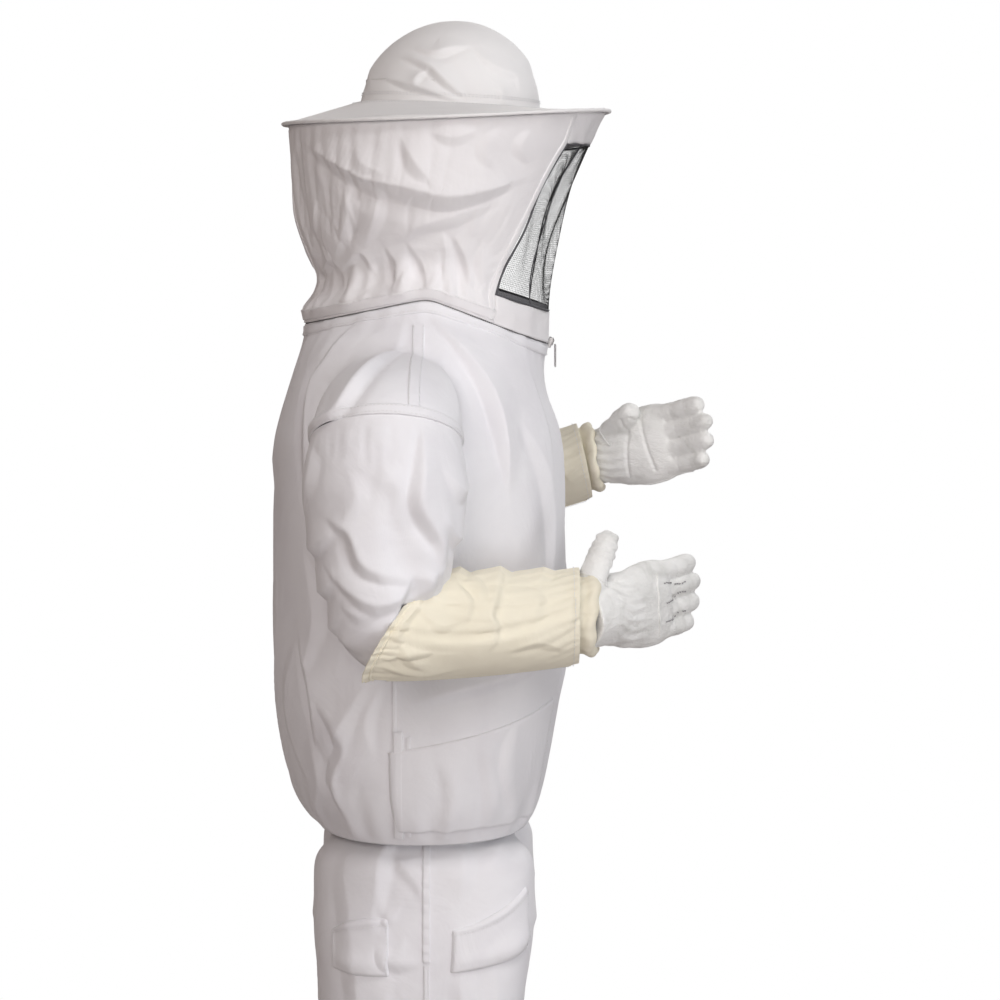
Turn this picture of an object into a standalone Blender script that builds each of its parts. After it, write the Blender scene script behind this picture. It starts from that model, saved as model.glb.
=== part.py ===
"""A two-piece beekeeping suit in its worn shape: pullover smock with a round veil hat, trousers, gauntlet gloves.

Metres, +Z up. The suit faces +X and its left side is +Y. Heights in the tables are above the wearer's floor;
the empty suit_frame lowers everything by NECK_HEIGHT, so the world origin is the middle of the wearer's neck,
where the smock hangs. A section's angle runs from the front (+X) towards the left side (+Y).
"""

import math

import bmesh
import bpy
import numpy as np
from mathutils import Vector

# ---------------------------------------------------------------- driving dimensions
NECK_HEIGHT = 1.425
CLOTH = 0.004  # wall of the cloth shells
THIN = 0.003  # wall of hat, veil and net
BODY_SIDES = 26  # round the smock's body
SLEEVE_SIDES = 16
BAND_SIDES = 24
LEG_SIDES = 16
PALM_SIDES, FINGER_SIDES = 12, 7
GAP = 0.0006  # between pieces sewn edge to edge
SEAM_GAP = 0.0010  # at the dropped shoulder seam, where the sleeve turns
ELBOW_GAP = 0.0030  # the forearm turns round the elbow's bag
SEAM_X = -0.022  # the smock's side and shoulder seams lie in this plane
TROUSER_SEAM_X = 0.004  # the trousers' outer and inner leg seams lie in this plane

# The hood zip's ring round the neck is two half circles that meet on the shoulders, each in its own plane.
ZIP_CENTRE_X, ZIP_CENTRE_HEIGHT, ZIP_RADIUS = 0.004, 1.462, 0.1443
ZIP_FRONT_TILT, ZIP_BACK_TILT = math.radians(21.0), math.radians(11.5)
ZIP_TAPE_HEIGHT = 0.0085
ZIP_GAP = 0.0012  # between the two rows of the zip
HOOD_HINGE_OUT = 0.0012  # the hood tips back about the zip's outer face
SLIDER_ANGLE = math.radians(4.0)  # the two sliders meet at the front
SLIDER_SIZE, SLIDER_OUT = (0.0048, 0.0090, 0.0120), 0.0060  # depth, width, height; how far outside the ring
BRIDGE_SIZE, BRIDGE_OUT = (0.0024, 0.0034, 0.0070), 0.0089
PULL_SIZE, PULL_TOP = (0.0016, 0.0062, 0.0260), -0.0025
PULL_OUT, PULL_DROP = 0.0124, 0.0035  # where a slider's pull swings, outside and below the ring

# hat: the brim's rim and the base of its crown
BRIM_CENTRE_X, BRIM_HALF_LENGTH, BRIM_HALF_WIDTH = 0.0245, 0.1850, 0.183
BRIM_HEIGHT, BRIM_FRONT_RISE, BRIM_SIDE_DROOP = 1.668, 0.0076, 0.006
CROWN_CENTRE_X, CROWN_HALF_LENGTH, CROWN_HALF_WIDTH = 0.029, 0.1035, 0.097
CROWN_TOP = 1.779
CROWN_PROFILE = ((0.0, 1.0), (0.25, 0.94), (0.5, 0.835), (0.72, 0.66), (0.88, 0.43))

SWEATBAND_SHARE, SWEATBAND_HEIGHTS = 0.892, (0.002, 0.024)  # of the crown's base, and above it
BINDING_RADIUS, BINDING_OUT = 0.0022, 0.0030
BAND_THICKNESS = 0.002

# veil: how far down its height the net starts and ends, and the net's half angle there
NET_TOP, NET_BOTTOM = 0.135, 0.83
NET_ANGLE_TOP, NET_ANGLE_BOTTOM = 35.0, 51.0
VEIL_FRONT_TUCK = 0.020  # how far the front curves in at mid height

# smock body: height at the front, back and sides, then back, front and half width of the section
TORSO_RINGS = (
    (0.856, 0.856, 0.856, -0.125, 0.120, 0.182),
    (0.880, 0.880, 0.880, -0.144, 0.131, 0.200),
    (0.912, 0.912, 0.912, -0.160, 0.140, 0.212),
    (0.965, 0.965, 0.965, -0.169, 0.150, 0.219),
    (1.040, 1.040, 1.040, -0.175, 0.161, 0.223),
    (1.140, 1.140, 1.140, -0.177, 0.163, 0.223),
    (1.280, 1.280, 1.280, -0.175, 0.157, 0.214),
    (1.325, 1.325, 1.325, -0.168, 0.149, 0.208),
    (1.352, 1.360, 1.362, -0.158, 0.140, 0.202),
    (1.372, 1.388, 1.400, -0.149, 0.137, 0.188),
    (1.386, 1.405, 1.428, -0.143, 0.136, 0.168),
)
HEM_BAND_HEIGHT = 0.020
SMOCK_POCKET_BOTTOM, SMOCK_POCKET_SIDE_TOP, SMOCK_POCKET_FRONT_TOP = 0.890, 0.984, 0.993
# shoulder caps, right side: centre, axis, radius along X, radius across. The last is the sleeve's seam.
CAP_RINGS = (
    ((-0.030, -0.155, 1.352), (0.0, -1.0, -0.20), 0.066, 0.052),
    ((-0.032, -0.235, 1.338), (0.0, -0.90, -0.43), 0.078, 0.068),
    ((-0.035, -0.298, 1.314), (0.0, -0.42, -0.907), 0.081, 0.080),
)

# Arms. upper is the sleeve's path from the seam to above the elbow, with its radii. The forearm runs straight
# from the elbow to the wrist; yaw, rise and thumb say where the hand and its thumb point.
ARMS = {
    "right": {
        "elbow": (-0.034, -0.342, 1.122),
        "wrist": (0.193, -0.222, 1.120),
        "upper": (
            ((-0.036, -0.318, 1.256), 0.0870),
            ((-0.036, -0.328, 1.206), 0.0760),
            ((-0.035, -0.336, 1.162), 0.0640),
        ),
        "elbow_radius": 0.0510,
        "mouth": 0.046,
        "girth": 1.0,
        "hand_yaw": 46.0,
        "hand_rise": 4.0,
        "thumb": (0.34, 0.12, 0.93),
    },
    "left": {
        "elbow": (-0.010, 0.352, 1.200),
        "wrist": (0.212, 0.237, 1.262),
        "upper": (((-0.031, 0.322, 1.272), 0.0790), ((-0.022, 0.339, 1.236), 0.0620)),
        "elbow_radius": 0.0480,
        "mouth": 0.088,
        "girth": 0.90,
        "hand_yaw": -39.0,
        "hand_rise": 13.0,
        "thumb": (0.80, 0.25, 0.48),
    },
}
ELBOW_END = ((0.45, 0.88), (0.85, 0.50))  # below the elbow: distance and radius, in elbow radii
# along the forearm from the elbow: distance and radius. The gauntlet's is a share of the way from its mouth.
SLEEVE_FORE = ((0.011, 0.045), (0.070, 0.044), (0.140, 0.041), (0.200, 0.037), (0.232, 0.034))
CUFF_RADIUS, CUFF_LENGTH = 0.031, 0.014
GAUNTLET_END = 0.248  # along the forearm
GAUNTLET = ((0.0, 0.0555), (0.22, 0.0575), (0.48, 0.0570), (0.76, 0.0530), (0.92, 0.0490), (1.0, 0.043))
WRIST_BAND_LENGTH = 0.012
GAUNTLET_SLANT = 0.034  # how much further from the elbow the mouth is on top
# palm: distance from the wrist, half width, half thickness
PALM = ((0.000, 0.033, 0.027), (0.030, 0.041, 0.024), (0.065, 0.047, 0.020), (0.090, 0.045, 0.016))
# fingers: place across the palm, length, radius
FINGERS = ((0.0335, 0.074, 0.0118), (0.0115, 0.083, 0.0120), (-0.0112, 0.077, 0.0115), (-0.0330, 0.062, 0.0108))
FINGER_PROFILE = ((0.0, 0.98), (0.35, 1.0), (0.72, 0.96), (0.92, 0.72), (1.0, 0.30))
THUMB_LENGTH, THUMB_RADIUS = 0.076, 0.0150
FINGER_CURL = 0.16  # how far a finger bends to the palm, as a share of its length

# trousers: height, back, front, half width; then each leg: height, back, front, centre Y, half width
SEAT_RINGS = (
    (0.775, -0.096, 0.096, 0.105),
    (0.800, -0.112, 0.104, 0.150),
    (0.850, -0.110, 0.103, 0.158),
    (0.920, -0.108, 0.102, 0.160),
    (0.980, -0.104, 0.101, 0.154),
    (1.005, -0.102, 0.101, 0.150),
)
LEG_RINGS = (
    (0.846, -0.104, 0.098, 0.086, 0.066),
    (0.830, -0.125, 0.123, 0.094, 0.086),
    (0.786, -0.127, 0.126, 0.096, 0.090),
    (0.740, -0.127, 0.125, 0.098, 0.092),
    (0.640, -0.118, 0.110, 0.099, 0.090),
    (0.480, -0.110, 0.088, 0.103, 0.085),
    (0.300, -0.104, 0.074, 0.107, 0.081),
    (0.150, -0.097, 0.062, 0.110, 0.077),
    (0.105, -0.082, 0.046, 0.111, 0.064),
    (0.086, -0.068, 0.034, 0.111, 0.051),
)
KNEE_HEIGHT, KNEE_HINGE_X, KNEE_Y = 0.480, -0.1110, 0.103  # the seam's back edge, which stays closed
ANKLE_X, ANKLE_Y, ANKLE_RADIUS, ANKLE_BOTTOM, ANKLE_TOP = -0.017, 0.111, 0.0500, 0.058, 0.0850
WAIST_BAND_BOTTOM, WAIST_BAND_TOP = 1.0058, 1.036

MATERIALS = {
    "cotton": ((0.86, 0.85, 0.87), 0.85, 0.0),
    "hat_cloth": ((0.88, 0.87, 0.86), 0.85, 0.0),
    "net": ((0.05, 0.05, 0.05), 0.70, 0.0),
    "elastic": ((0.80, 0.79, 0.78), 0.80, 0.0),
    "canvas": ((0.87, 0.81, 0.66), 0.90, 0.0),
    "leather": ((0.87, 0.87, 0.85), 0.55, 0.0),
    "zip_tape": ((0.84, 0.83, 0.84), 0.75, 0.0),
    "zip_metal": ((0.72, 0.72, 0.73), 0.30, 1.0),
}


# ---------------------------------------------------------------- scene helpers
def clear_scene():
    for obj in list(bpy.data.objects):
        bpy.data.objects.remove(obj)


def collection(name):
    made = bpy.data.collections.new(name)
    bpy.context.scene.collection.children.link(made)
    return made


def material(name):
    found = bpy.data.materials.get(name)
    if found:
        return found
    colour, roughness, metallic = MATERIALS[name]
    made = bpy.data.materials.new(name)
    made.use_nodes = True
    shader = made.node_tree.nodes["Principled BSDF"]
    shader.inputs["Base Color"].default_value = (*colour, 1.0)
    shader.inputs["Roughness"].default_value = roughness
    shader.inputs["Metallic"].default_value = metallic
    return made


def add_object(name, mesh, slot=None):
    """A part if it has a material slot, or else a cutter."""
    obj = bpy.data.objects.new(name, mesh)
    if slot:
        PARTS.objects.link(obj)
        mesh.materials.append(material(slot))
        obj.parent = SUIT_FRAME
    else:
        CUTTERS.objects.link(obj)
        obj.hide_render = True
        obj.display_type = "WIRE"
        obj.parent = SUIT_FRAME
    return obj


def boolean(obj, other, operation="DIFFERENCE"):
    modifier = obj.modifiers.new(operation.lower() + "_" + other.name, "BOOLEAN")
    modifier.operation = operation
    modifier.object = other
    modifier.solver = "EXACT"


def box_cutter(name, low, high):
    low, high = Vector(low), Vector(high)
    bm = bmesh.new()
    bmesh.ops.create_cube(bm, size=1.0)
    bmesh.ops.scale(bm, vec=high - low, verts=bm.verts)
    bmesh.ops.translate(bm, vec=(low + high) / 2, verts=bm.verts)
    mesh = bpy.data.meshes.new(name)
    bm.to_mesh(mesh)
    bm.free()
    return add_object(name, mesh)


# ---------------------------------------------------------------- sections and lofts
def turns(count):
    return [2 * math.pi * k / count for k in range(count)]


def spread_power(value, exponent):
    return math.copysign(abs(value) ** (2 / exponent), value)


def oval(angle, back, front, half_width, exponent=2.3):
    """A point of a rounded-square section whose front and back differ."""
    centre, half = (back + front) / 2, (front - back) / 2
    return centre + half * spread_power(math.cos(angle), exponent), half_width * spread_power(
        math.sin(angle), exponent
    )


def unit(vector):
    return Vector(vector).normalized()


def neck_height(angle):
    """The hood zip's height round the neck: high over the shoulders, low at the front and the back."""
    forward = math.cos(angle)
    tilt = ZIP_FRONT_TILT if forward > 0 else ZIP_BACK_TILT
    return ZIP_CENTRE_HEIGHT - ZIP_RADIUS * abs(forward) * math.sin(tilt)


def neck_point(angle, offset, lift):
    """A point on the hood zip's ring, moved outwards by offset and up by lift."""
    forward = math.cos(angle)
    tilt = ZIP_FRONT_TILT if forward > 0 else ZIP_BACK_TILT
    radius = ZIP_RADIUS + offset
    x = ZIP_CENTRE_X + radius * forward * math.cos(tilt)
    return Vector((x, radius * math.sin(angle), neck_height(angle) + lift))


def tube_ring(centre, axis, radius_u, radius_v, across, count, slant=0.0):
    """A ring round an axis. across sets the v direction; slant moves the u side along the axis."""
    axis = unit(axis)
    v = (Vector(across) - axis * axis.dot(Vector(across))).normalized()
    u = v.cross(axis)
    return [
        Vector(centre) + u * radius_u * math.cos(a) + v * radius_v * math.sin(a) + axis * slant * math.cos(a)
        for a in turns(count)
    ]


def grid_faces(bm, rows, closed):
    made = [[bm.verts.new(p) for p in row] for row in rows]
    for low, high in zip(made, made[1:]):
        last = len(low) if closed else len(low) - 1
        for k in range(last):
            n = (k + 1) % len(low)
            bm.faces.new((low[k], low[n], high[n], high[k]))
    return made


def fan_cap(bm, ring):
    centre = bm.verts.new(sum((v.co for v in ring), Vector()) / len(ring))
    for k, vertex in enumerate(ring):
        bm.faces.new((vertex, ring[(k + 1) % len(ring)], centre))


def finish_mesh(bm, name):
    bmesh.ops.recalc_face_normals(bm, faces=bm.faces)
    mesh = bpy.data.meshes.new(name)
    bm.to_mesh(mesh)
    bm.free()
    mesh.shade_smooth()
    return mesh


def solid_mesh(name, rings):
    """A closed solid through rings of points, in triangles, which a Boolean cuts more reliably."""
    bm = bmesh.new()
    made = grid_faces(bm, rings, closed=True)
    fan_cap(bm, made[0])
    fan_cap(bm, made[-1])
    bmesh.ops.triangulate(bm, faces=bm.faces)
    return finish_mesh(bm, name)


def inset_rings(rings, depth, beyond=0.02):
    """The same rings moved inwards by depth, with a further ring past each end so that a cut comes through."""
    points = np.array([[tuple(p) for p in ring] for ring in rings])
    around = np.roll(points, -1, axis=1) - np.roll(points, 1, axis=1)
    along = np.gradient(points, axis=0)
    normal = np.cross(around, along)
    normal /= np.linalg.norm(normal, axis=2, keepdims=True)
    outward = points - points.mean(axis=1, keepdims=True)
    flip = np.sign((normal * outward).sum(axis=2).mean())
    inner = points - normal * flip * depth
    centres = inner.mean(axis=1)
    first = centres[0] - centres[1]
    last = centres[-1] - centres[-2]
    start = inner[0] + first / np.linalg.norm(first) * beyond
    end = inner[-1] + last / np.linalg.norm(last) * beyond
    return [[Vector(p) for p in ring] for ring in (start, *inner, end)]


def shell(name, rings, slot, depth=CLOTH):
    """An open-ended tube of cloth through the rings."""
    obj = add_object(name, solid_mesh(name, rings), slot)
    boolean(obj, add_object(name + "_inside", solid_mesh(name + "_inside", inset_rings(rings, depth))))
    return obj


def sheet(name, rows, slot, thickness, closed=False):
    """A sheet of cloth through rows of points, thickened about its middle."""
    bm = bmesh.new()
    grid_faces(bm, rows, closed)
    obj = add_object(name, finish_mesh(bm, name), slot)
    solidify = obj.modifiers.new("thickness", "SOLIDIFY")
    solidify.thickness = thickness
    solidify.offset = 0.0
    return obj


def band(name, slot, ring_at, heights, thickness, count=BAND_SIDES):
    """A flat ring of elastic or tape: ring_at(angle, height) gives its middle surface."""
    rows = [[ring_at(a, h) for a in turns(count)] for h in heights]
    return sheet(name, rows, slot, thickness, closed=True)


# ---------------------------------------------------------------- hat
def brim_point(angle, share):
    """share 0 is the crown's base and 1 is the rim."""
    rim = Vector(
        (
            BRIM_CENTRE_X + BRIM_HALF_LENGTH * math.cos(angle),
            BRIM_HALF_WIDTH * math.sin(angle),
            BRIM_HEIGHT + BRIM_FRONT_RISE * math.cos(angle) - BRIM_SIDE_DROOP * math.sin(angle) ** 2,
        )
    )
    base = crown_base(angle)
    return base.lerp(rim, share)


def crown_base(angle):
    slope = 0.0125 - 0.009 * math.cos(angle)  # the brim droops more at the back
    return Vector(
        (
            CROWN_CENTRE_X + CROWN_HALF_LENGTH * math.cos(angle),
            CROWN_HALF_WIDTH * math.sin(angle),
            BRIM_HEIGHT + 0.55 * BRIM_FRONT_RISE * math.cos(angle) + slope,
        )
    )


def crown_point(angle, height_share, radius_share):
    base = crown_base(angle)
    base.z += 0.003
    centre_x = CROWN_CENTRE_X + 0.006 * height_share
    return Vector(
        (
            centre_x + (base.x - CROWN_CENTRE_X) * radius_share,
            base.y * radius_share,
            base.z + (CROWN_TOP - base.z) * height_share,
        )
    )


def make_hat():
    bm = bmesh.new()
    rows = [[crown_point(a, h, r) for a in turns(BAND_SIDES)] for h, r in CROWN_PROFILE]
    made = grid_faces(bm, rows, closed=True)
    fan_cap(bm, made[-1])
    crown = add_object("hat_crown", finish_mesh(bm, "hat_crown"), "hat_cloth")
    solidify = crown.modifiers.new("thickness", "SOLIDIFY")
    solidify.thickness = THIN
    solidify.offset = 0.0

    rows = [[brim_point(a, s) for a in turns(BAND_SIDES + 4)] for s in (0.0, 1.0)]
    sheet("hat_brim", rows, "hat_cloth", THIN, closed=True)

    path = bpy.data.curves.new("brim_binding", "CURVE")
    path.dimensions = "3D"
    path.bevel_depth = BINDING_RADIUS
    path.bevel_resolution = 1
    spline = path.splines.new("POLY")
    count = BAND_SIDES + 4
    spline.points.add(count - 1)
    for point, angle in zip(spline.points, turns(count)):
        rim = brim_point(angle, 1.0)
        outward = Vector((math.cos(angle), math.sin(angle), 0)) * BINDING_OUT
        point.co = (*(rim + outward), 1.0)
    spline.use_cyclic_u = True
    binding = bpy.data.objects.new("brim_binding", path)
    PARTS.objects.link(binding)
    path.materials.append(material("hat_cloth"))
    binding.parent = SUIT_FRAME

    def sweat_ring(angle, height):
        base = crown_base(angle)
        middle = Vector((CROWN_CENTRE_X, 0, base.z + height))
        return middle + (Vector((base.x, base.y, base.z + height)) - middle) * SWEATBAND_SHARE

    band("hat_sweatband", "elastic", sweat_ring, SWEATBAND_HEIGHTS, BAND_THICKNESS)


# ---------------------------------------------------------------- veil
def veil_point(angle, down):
    """down is 0 at the brim and 1 at the hood zip."""
    top = brim_point(angle, 0.95)
    top.z -= THIN + 0.0008
    foot = neck_point(angle, 0.0, 0.0105)
    point = top.lerp(foot, down)
    tuck = VEIL_FRONT_TUCK * math.sin(math.pi * down) * max(0.0, math.cos(angle)) ** 1.5
    fullness = 0.010 * math.sin(math.pi * down) * (1 - max(0.0, math.cos(angle)))
    outward = Vector((math.cos(angle), math.sin(angle), 0))
    return point + outward * (fullness - tuck)


def net_angle(down):
    share = (down - NET_TOP) / (NET_BOTTOM - NET_TOP)
    share = min(1.0, max(0.0, share))
    return math.radians(NET_ANGLE_TOP + (NET_ANGLE_BOTTOM - NET_ANGLE_TOP) * share)


def veil_rows(downs, first, last, count):
    """Rows of the veil's surface between two edges, which are functions of how far down a row is."""
    rows = []
    for down in downs:
        a, b = first(down), last(down)
        rows.append([veil_point(a + (b - a) * k / count, down) for k in range(count + 1)])
    return rows


def even(first, last, count):
    return [first + (last - first) * k / count for k in range(count + 1)]


def make_veil():
    edge = 0.006  # angle left between pieces sewn edge to edge
    slit = 0.004  # the same, down the height
    side = math.pi - edge
    downs = even(0.0, NET_TOP, 1)[:-1] + even(NET_TOP, NET_BOTTOM, 3) + [1.0]
    shoulder = math.pi / 2  # where the zip's ring bends
    for name, sign in (("left", 1), ("right", -1)):
        rows = []
        for down in downs:
            angles = even(net_angle(down) + edge, shoulder, 3)[:-1] + even(shoulder, side, 5)
            rows.append([veil_point(sign * a, down) for a in angles])
        sheet(f"veil_cloth_{name}", rows, "cotton", THIN)

    def front(d):
        return -net_angle(d) + edge

    def back(d):
        return net_angle(d) - edge

    sheet("veil_forehead_cloth", veil_rows((0.0, NET_TOP - slit), front, back, 8), "cotton", THIN)
    sheet("veil_chin_band", veil_rows((NET_BOTTOM + slit, 1.0), front, back, 8), "cotton", THIN)
    sheet("veil_net", veil_rows(even(NET_TOP + slit, NET_BOTTOM - slit, 3), front, back, 8), "net", 0.002)


# ---------------------------------------------------------------- hood zip
def zip_ring(offset):
    return lambda angle, height: neck_point(angle, offset, height)


def plate(name, size, centre, facing, slot=None, lean=0.0, bevel=0.0005):
    """A small box with chamfered edges, turned about Z to face outwards and leaning back."""
    bm = bmesh.new()
    bmesh.ops.create_cube(bm, size=1.0)
    bmesh.ops.scale(bm, vec=size, verts=bm.verts)
    bmesh.ops.bevel(bm, geom=bm.edges, offset=bevel, segments=1, affect="EDGES")
    mesh = bpy.data.meshes.new(name)
    bm.to_mesh(mesh)
    bm.free()
    obj = add_object(name, mesh, slot)
    obj.location = centre
    obj.rotation_euler = (0.0, lean, facing)
    return obj


def make_zip():
    half = ZIP_GAP / 2
    upper = (half, half + ZIP_TAPE_HEIGHT)
    lower = (-half - ZIP_TAPE_HEIGHT, -half)
    band("hood_zip_tape", "zip_tape", zip_ring(0), upper, BAND_THICKNESS, BODY_SIDES + 6)
    band("neck_zip_tape", "zip_tape", zip_ring(0), lower, BAND_THICKNESS, BODY_SIDES + 6)
    for name, sign in (("left", 1), ("right", -1)):
        angle = sign * SLIDER_ANGLE
        place = neck_point(angle, SLIDER_OUT, 0)
        slider = plate(f"zip_slider_{name}", SLIDER_SIZE, place, angle, "zip_metal", ZIP_FRONT_TILT)
        place = neck_point(angle, BRIDGE_OUT, 0)
        bridge = plate(f"bridge_{name}", BRIDGE_SIZE, place, angle, None, ZIP_FRONT_TILT)
        boolean(slider, bridge, "UNION")
        place = neck_point(angle, PULL_OUT, PULL_TOP - PULL_SIZE[2] / 2)
        plate(f"zip_pull_{name}", PULL_SIZE, place, angle, "zip_metal")


# ---------------------------------------------------------------- smock
def torso_ring(row):
    front_h, back_h, side_h, back, front, half_width = row
    ring = []
    for angle in turns(BODY_SIDES):
        x, y = oval(angle, back, front, half_width)
        ends = front_h if math.cos(angle) > 0 else back_h
        height = ends + (side_h - ends) * math.sin(angle) ** 2
        ring.append(Vector((x, y, height)))
    return ring


def torso_rings():
    neck = [zip_ring(0.0015)(a, -0.0105) for a in turns(BODY_SIDES)]
    return [torso_ring(row) for row in TORSO_RINGS] + [neck]


def cap_rings(sign):
    rings = []
    for centre, axis, radius_x, radius_across in CAP_RINGS:
        centre = (centre[0], -sign * centre[1], centre[2])
        axis = (axis[0], -sign * axis[1], axis[2])
        rings.append(tube_ring(centre, axis, radius_across, radius_x, (1, 0, 0), SLEEVE_SIDES))
    return rings


def make_smock():
    rings = torso_rings()
    inside = add_object("smock_inside", solid_mesh("smock_inside", inset_rings(rings, CLOTH)))
    outside = solid_mesh("smock_outside", rings)
    caps, cap_insides = [], []
    for name, sign in (("left", 1), ("right", -1)):
        ring_set = cap_rings(sign)
        caps.append(add_object(f"cap_{name}", solid_mesh(f"cap_{name}", ring_set)))
        cap_insides.append(
            add_object(f"cap_{name}_inside", solid_mesh(f"cap_{name}_inside", inset_rings(ring_set, CLOTH)))
        )
    reach = 2.0
    keep_front = box_cutter("behind_the_seam", (-reach, -reach, 0), (SEAM_X + GAP / 2, reach, reach))
    keep_back = box_cutter("before_the_seam", (SEAM_X - GAP / 2, -reach, 0), (reach, reach, reach))
    for name, cutter in (("smock_front", keep_front), ("smock_back", keep_back)):
        panel = add_object(name, outside.copy(), "cotton")
        for cap in caps:
            boolean(panel, cap, "UNION")
        for cut in (inside, *cap_insides, cutter):
            boolean(panel, cut)

    hem = TORSO_RINGS[0]

    def hem_ring(angle, height):
        x, y = oval(angle, hem[3] + 0.0075, hem[4] - 0.0075, hem[5] - 0.0075)
        return Vector((x, y, height))

    band("hem_elastic", "elastic", hem_ring, (hem[0], hem[0] + HEM_BAND_HEIGHT), THIN)


def torso_surface(angle, height, lift):
    """A point on the smock's outer surface below the shoulders, lifted off it."""
    rows = TORSO_RINGS
    for low, high in zip(rows, rows[1:]):
        if low[0] <= height <= high[0]:
            share = (height - low[0]) / (high[0] - low[0])
            back, front, half = (low[k] + (high[k] - low[k]) * share for k in (3, 4, 5))
            x, y = oval(angle, back, front, half)
            flat = Vector((x / (front - back), y / (2 * half), 0)).normalized()
            return Vector((x, y, height)) + flat * lift
    raise ValueError(height)


def make_smock_pockets():
    """A patch pocket on each side of the front, its mouth rising a little towards the middle."""
    first, last = 18, 84
    for name, sign in (("left", 1), ("right", -1)):
        angles = [math.radians(a) * sign for a in even(first, last, 6)]
        tops = even(SMOCK_POCKET_FRONT_TOP, SMOCK_POCKET_SIDE_TOP, 6)
        rows = []
        for share in even(0.0, 1.0, 4):
            bottom = SMOCK_POCKET_BOTTOM
            row = [torso_surface(a, bottom + (top - bottom) * share, 0.0030) for a, top in zip(angles, tops)]
            rows.append(row)
        sheet(f"smock_pocket_{name}", rows, "cotton", 0.002)


# ---------------------------------------------------------------- sleeves and gloves
def forearm(arm):
    elbow, wrist = Vector(arm["elbow"]), Vector(arm["wrist"])
    return elbow, (wrist - elbow).normalized()


def arm_across(arm):
    """The direction that the elbow bends about."""
    elbow, axis = forearm(arm)
    down = (elbow - Vector(arm["upper"][0][0])).normalized()
    return down.cross(axis).normalized()


def sleeve_seam(sign):
    """The middle and the direction of the dropped shoulder seam."""
    centre, axis, _, _ = CAP_RINGS[-1]
    return Vector((centre[0], -sign * centre[1], centre[2])), unit((axis[0], -sign * axis[1], axis[2]))


def upper_sleeve_rings(arm, sign, grow=0.0):
    """From the shoulder seam down to the round end at the elbow."""
    elbow, _ = forearm(arm)
    seam, seam_axis = sleeve_seam(sign)
    _, _, radius_x, radius_across = CAP_RINGS[-1]
    radii = (radius_across + grow, radius_x + grow)
    rings = [tube_ring(seam + seam_axis * SEAM_GAP, seam_axis, *radii, (1, 0, 0), SLEEVE_SIDES)]
    path = [*arm["upper"], (tuple(elbow), arm["elbow_radius"])]
    before = seam
    for k, (centre, radius) in enumerate(path):
        after = Vector(path[min(k + 1, len(path) - 1)][0])
        direction = (after - before).normalized()
        rings.append(tube_ring(centre, direction, radius + grow, radius + grow, (1, 0, 0), SLEEVE_SIDES))
        before = Vector(centre)
    end = arm["elbow_radius"]
    down = (elbow - Vector(path[-2][0])).normalized()
    for reach, share in ELBOW_END:
        radius = end * share + grow
        rings.append(tube_ring(elbow + down * (end * reach + grow), down, radius, radius, (1, 0, 0), SLEEVE_SIDES))
    return rings


def fore_sleeve_rings(arm, inset=0.0):
    elbow, axis = forearm(arm)
    across = arm_across(arm)
    rings = []
    for along, radius in SLEEVE_FORE:
        radius = radius * arm["girth"] - inset
        rings.append(tube_ring(elbow + axis * along, axis, radius, radius, across, SLEEVE_SIDES - 1))
    return rings


def make_sleeve(name, arm):
    """The upper sleeve is a bag round the elbow. The lower sleeve comes out of its side."""
    sign = 1 if name == "left" else -1
    across = arm_across(arm)
    elbow, axis = forearm(arm)
    outer = upper_sleeve_rings(arm, sign)
    upper = add_object(f"sleeve_upper_{name}", solid_mesh(f"sleeve_upper_{name}", outer), "cotton")
    inner = inset_rings(outer, CLOTH)[:-1]
    boolean(upper, add_object(f"upper_inside_{name}", solid_mesh(f"upper_inside_{name}", inner)))
    bore = fore_sleeve_rings(arm, inset=CLOTH)
    boolean(upper, add_object(f"sleeve_bore_{name}", solid_mesh(f"sleeve_bore_{name}", bore)))

    outer = fore_sleeve_rings(arm)
    fore = add_object(f"sleeve_fore_{name}", solid_mesh(f"sleeve_fore_{name}", outer), "cotton")
    room = upper_sleeve_rings(arm, sign, grow=ELBOW_GAP)
    boolean(fore, add_object(f"elbow_room_{name}", solid_mesh(f"elbow_room_{name}", room)))
    inner = inset_rings(outer, CLOTH, 0.004)
    boolean(fore, add_object(f"fore_inside_{name}", solid_mesh(f"fore_inside_{name}", inner)))

    def cuff(angle, along):
        radius = CUFF_RADIUS * arm["girth"]
        u = across.cross(axis)
        return elbow + axis * along + (u * math.cos(angle) + across * math.sin(angle)) * radius

    end = SLEEVE_FORE[-1][0] + GAP
    band(f"sleeve_cuff_{name}", "elastic", cuff, (end, end + CUFF_LENGTH), THIN, SLEEVE_SIDES)


def gauntlet_rings(arm, grow=0.0):
    elbow, axis = forearm(arm)
    across = arm_across(arm)
    rings = []
    for share, radius in GAUNTLET:
        along = arm["mouth"] + (GAUNTLET_END - arm["mouth"]) * share
        radius = radius * arm["girth"] + grow
        slant = GAUNTLET_SLANT * max(0.0, 1 - 2 * share) * upward(arm)
        rings.append(tube_ring(elbow + axis * along, axis, radius, radius, across, SLEEVE_SIDES, slant))
    return rings


def upward(arm):
    """1 if the u side of a forearm ring is its top, or -1."""
    _, axis = forearm(arm)
    across = arm_across(arm)
    return math.copysign(1.0, across.cross(axis).z)


def hand_frame(arm):
    """The directions of the fingers, of the back of the hand and of the thumb's side."""
    yaw, rise = math.radians(arm["hand_yaw"]), math.radians(arm["hand_rise"])
    fingers = Vector((math.cos(yaw) * math.cos(rise), math.sin(yaw) * math.cos(rise), math.sin(rise)))
    back = Vector((fingers.y, -fingers.x, 0)).normalized() * (1 if arm["wrist"][1] < 0 else -1)
    return fingers, back, fingers.cross(back) * (-1 if fingers.cross(back).z < 0 else 1)


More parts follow.
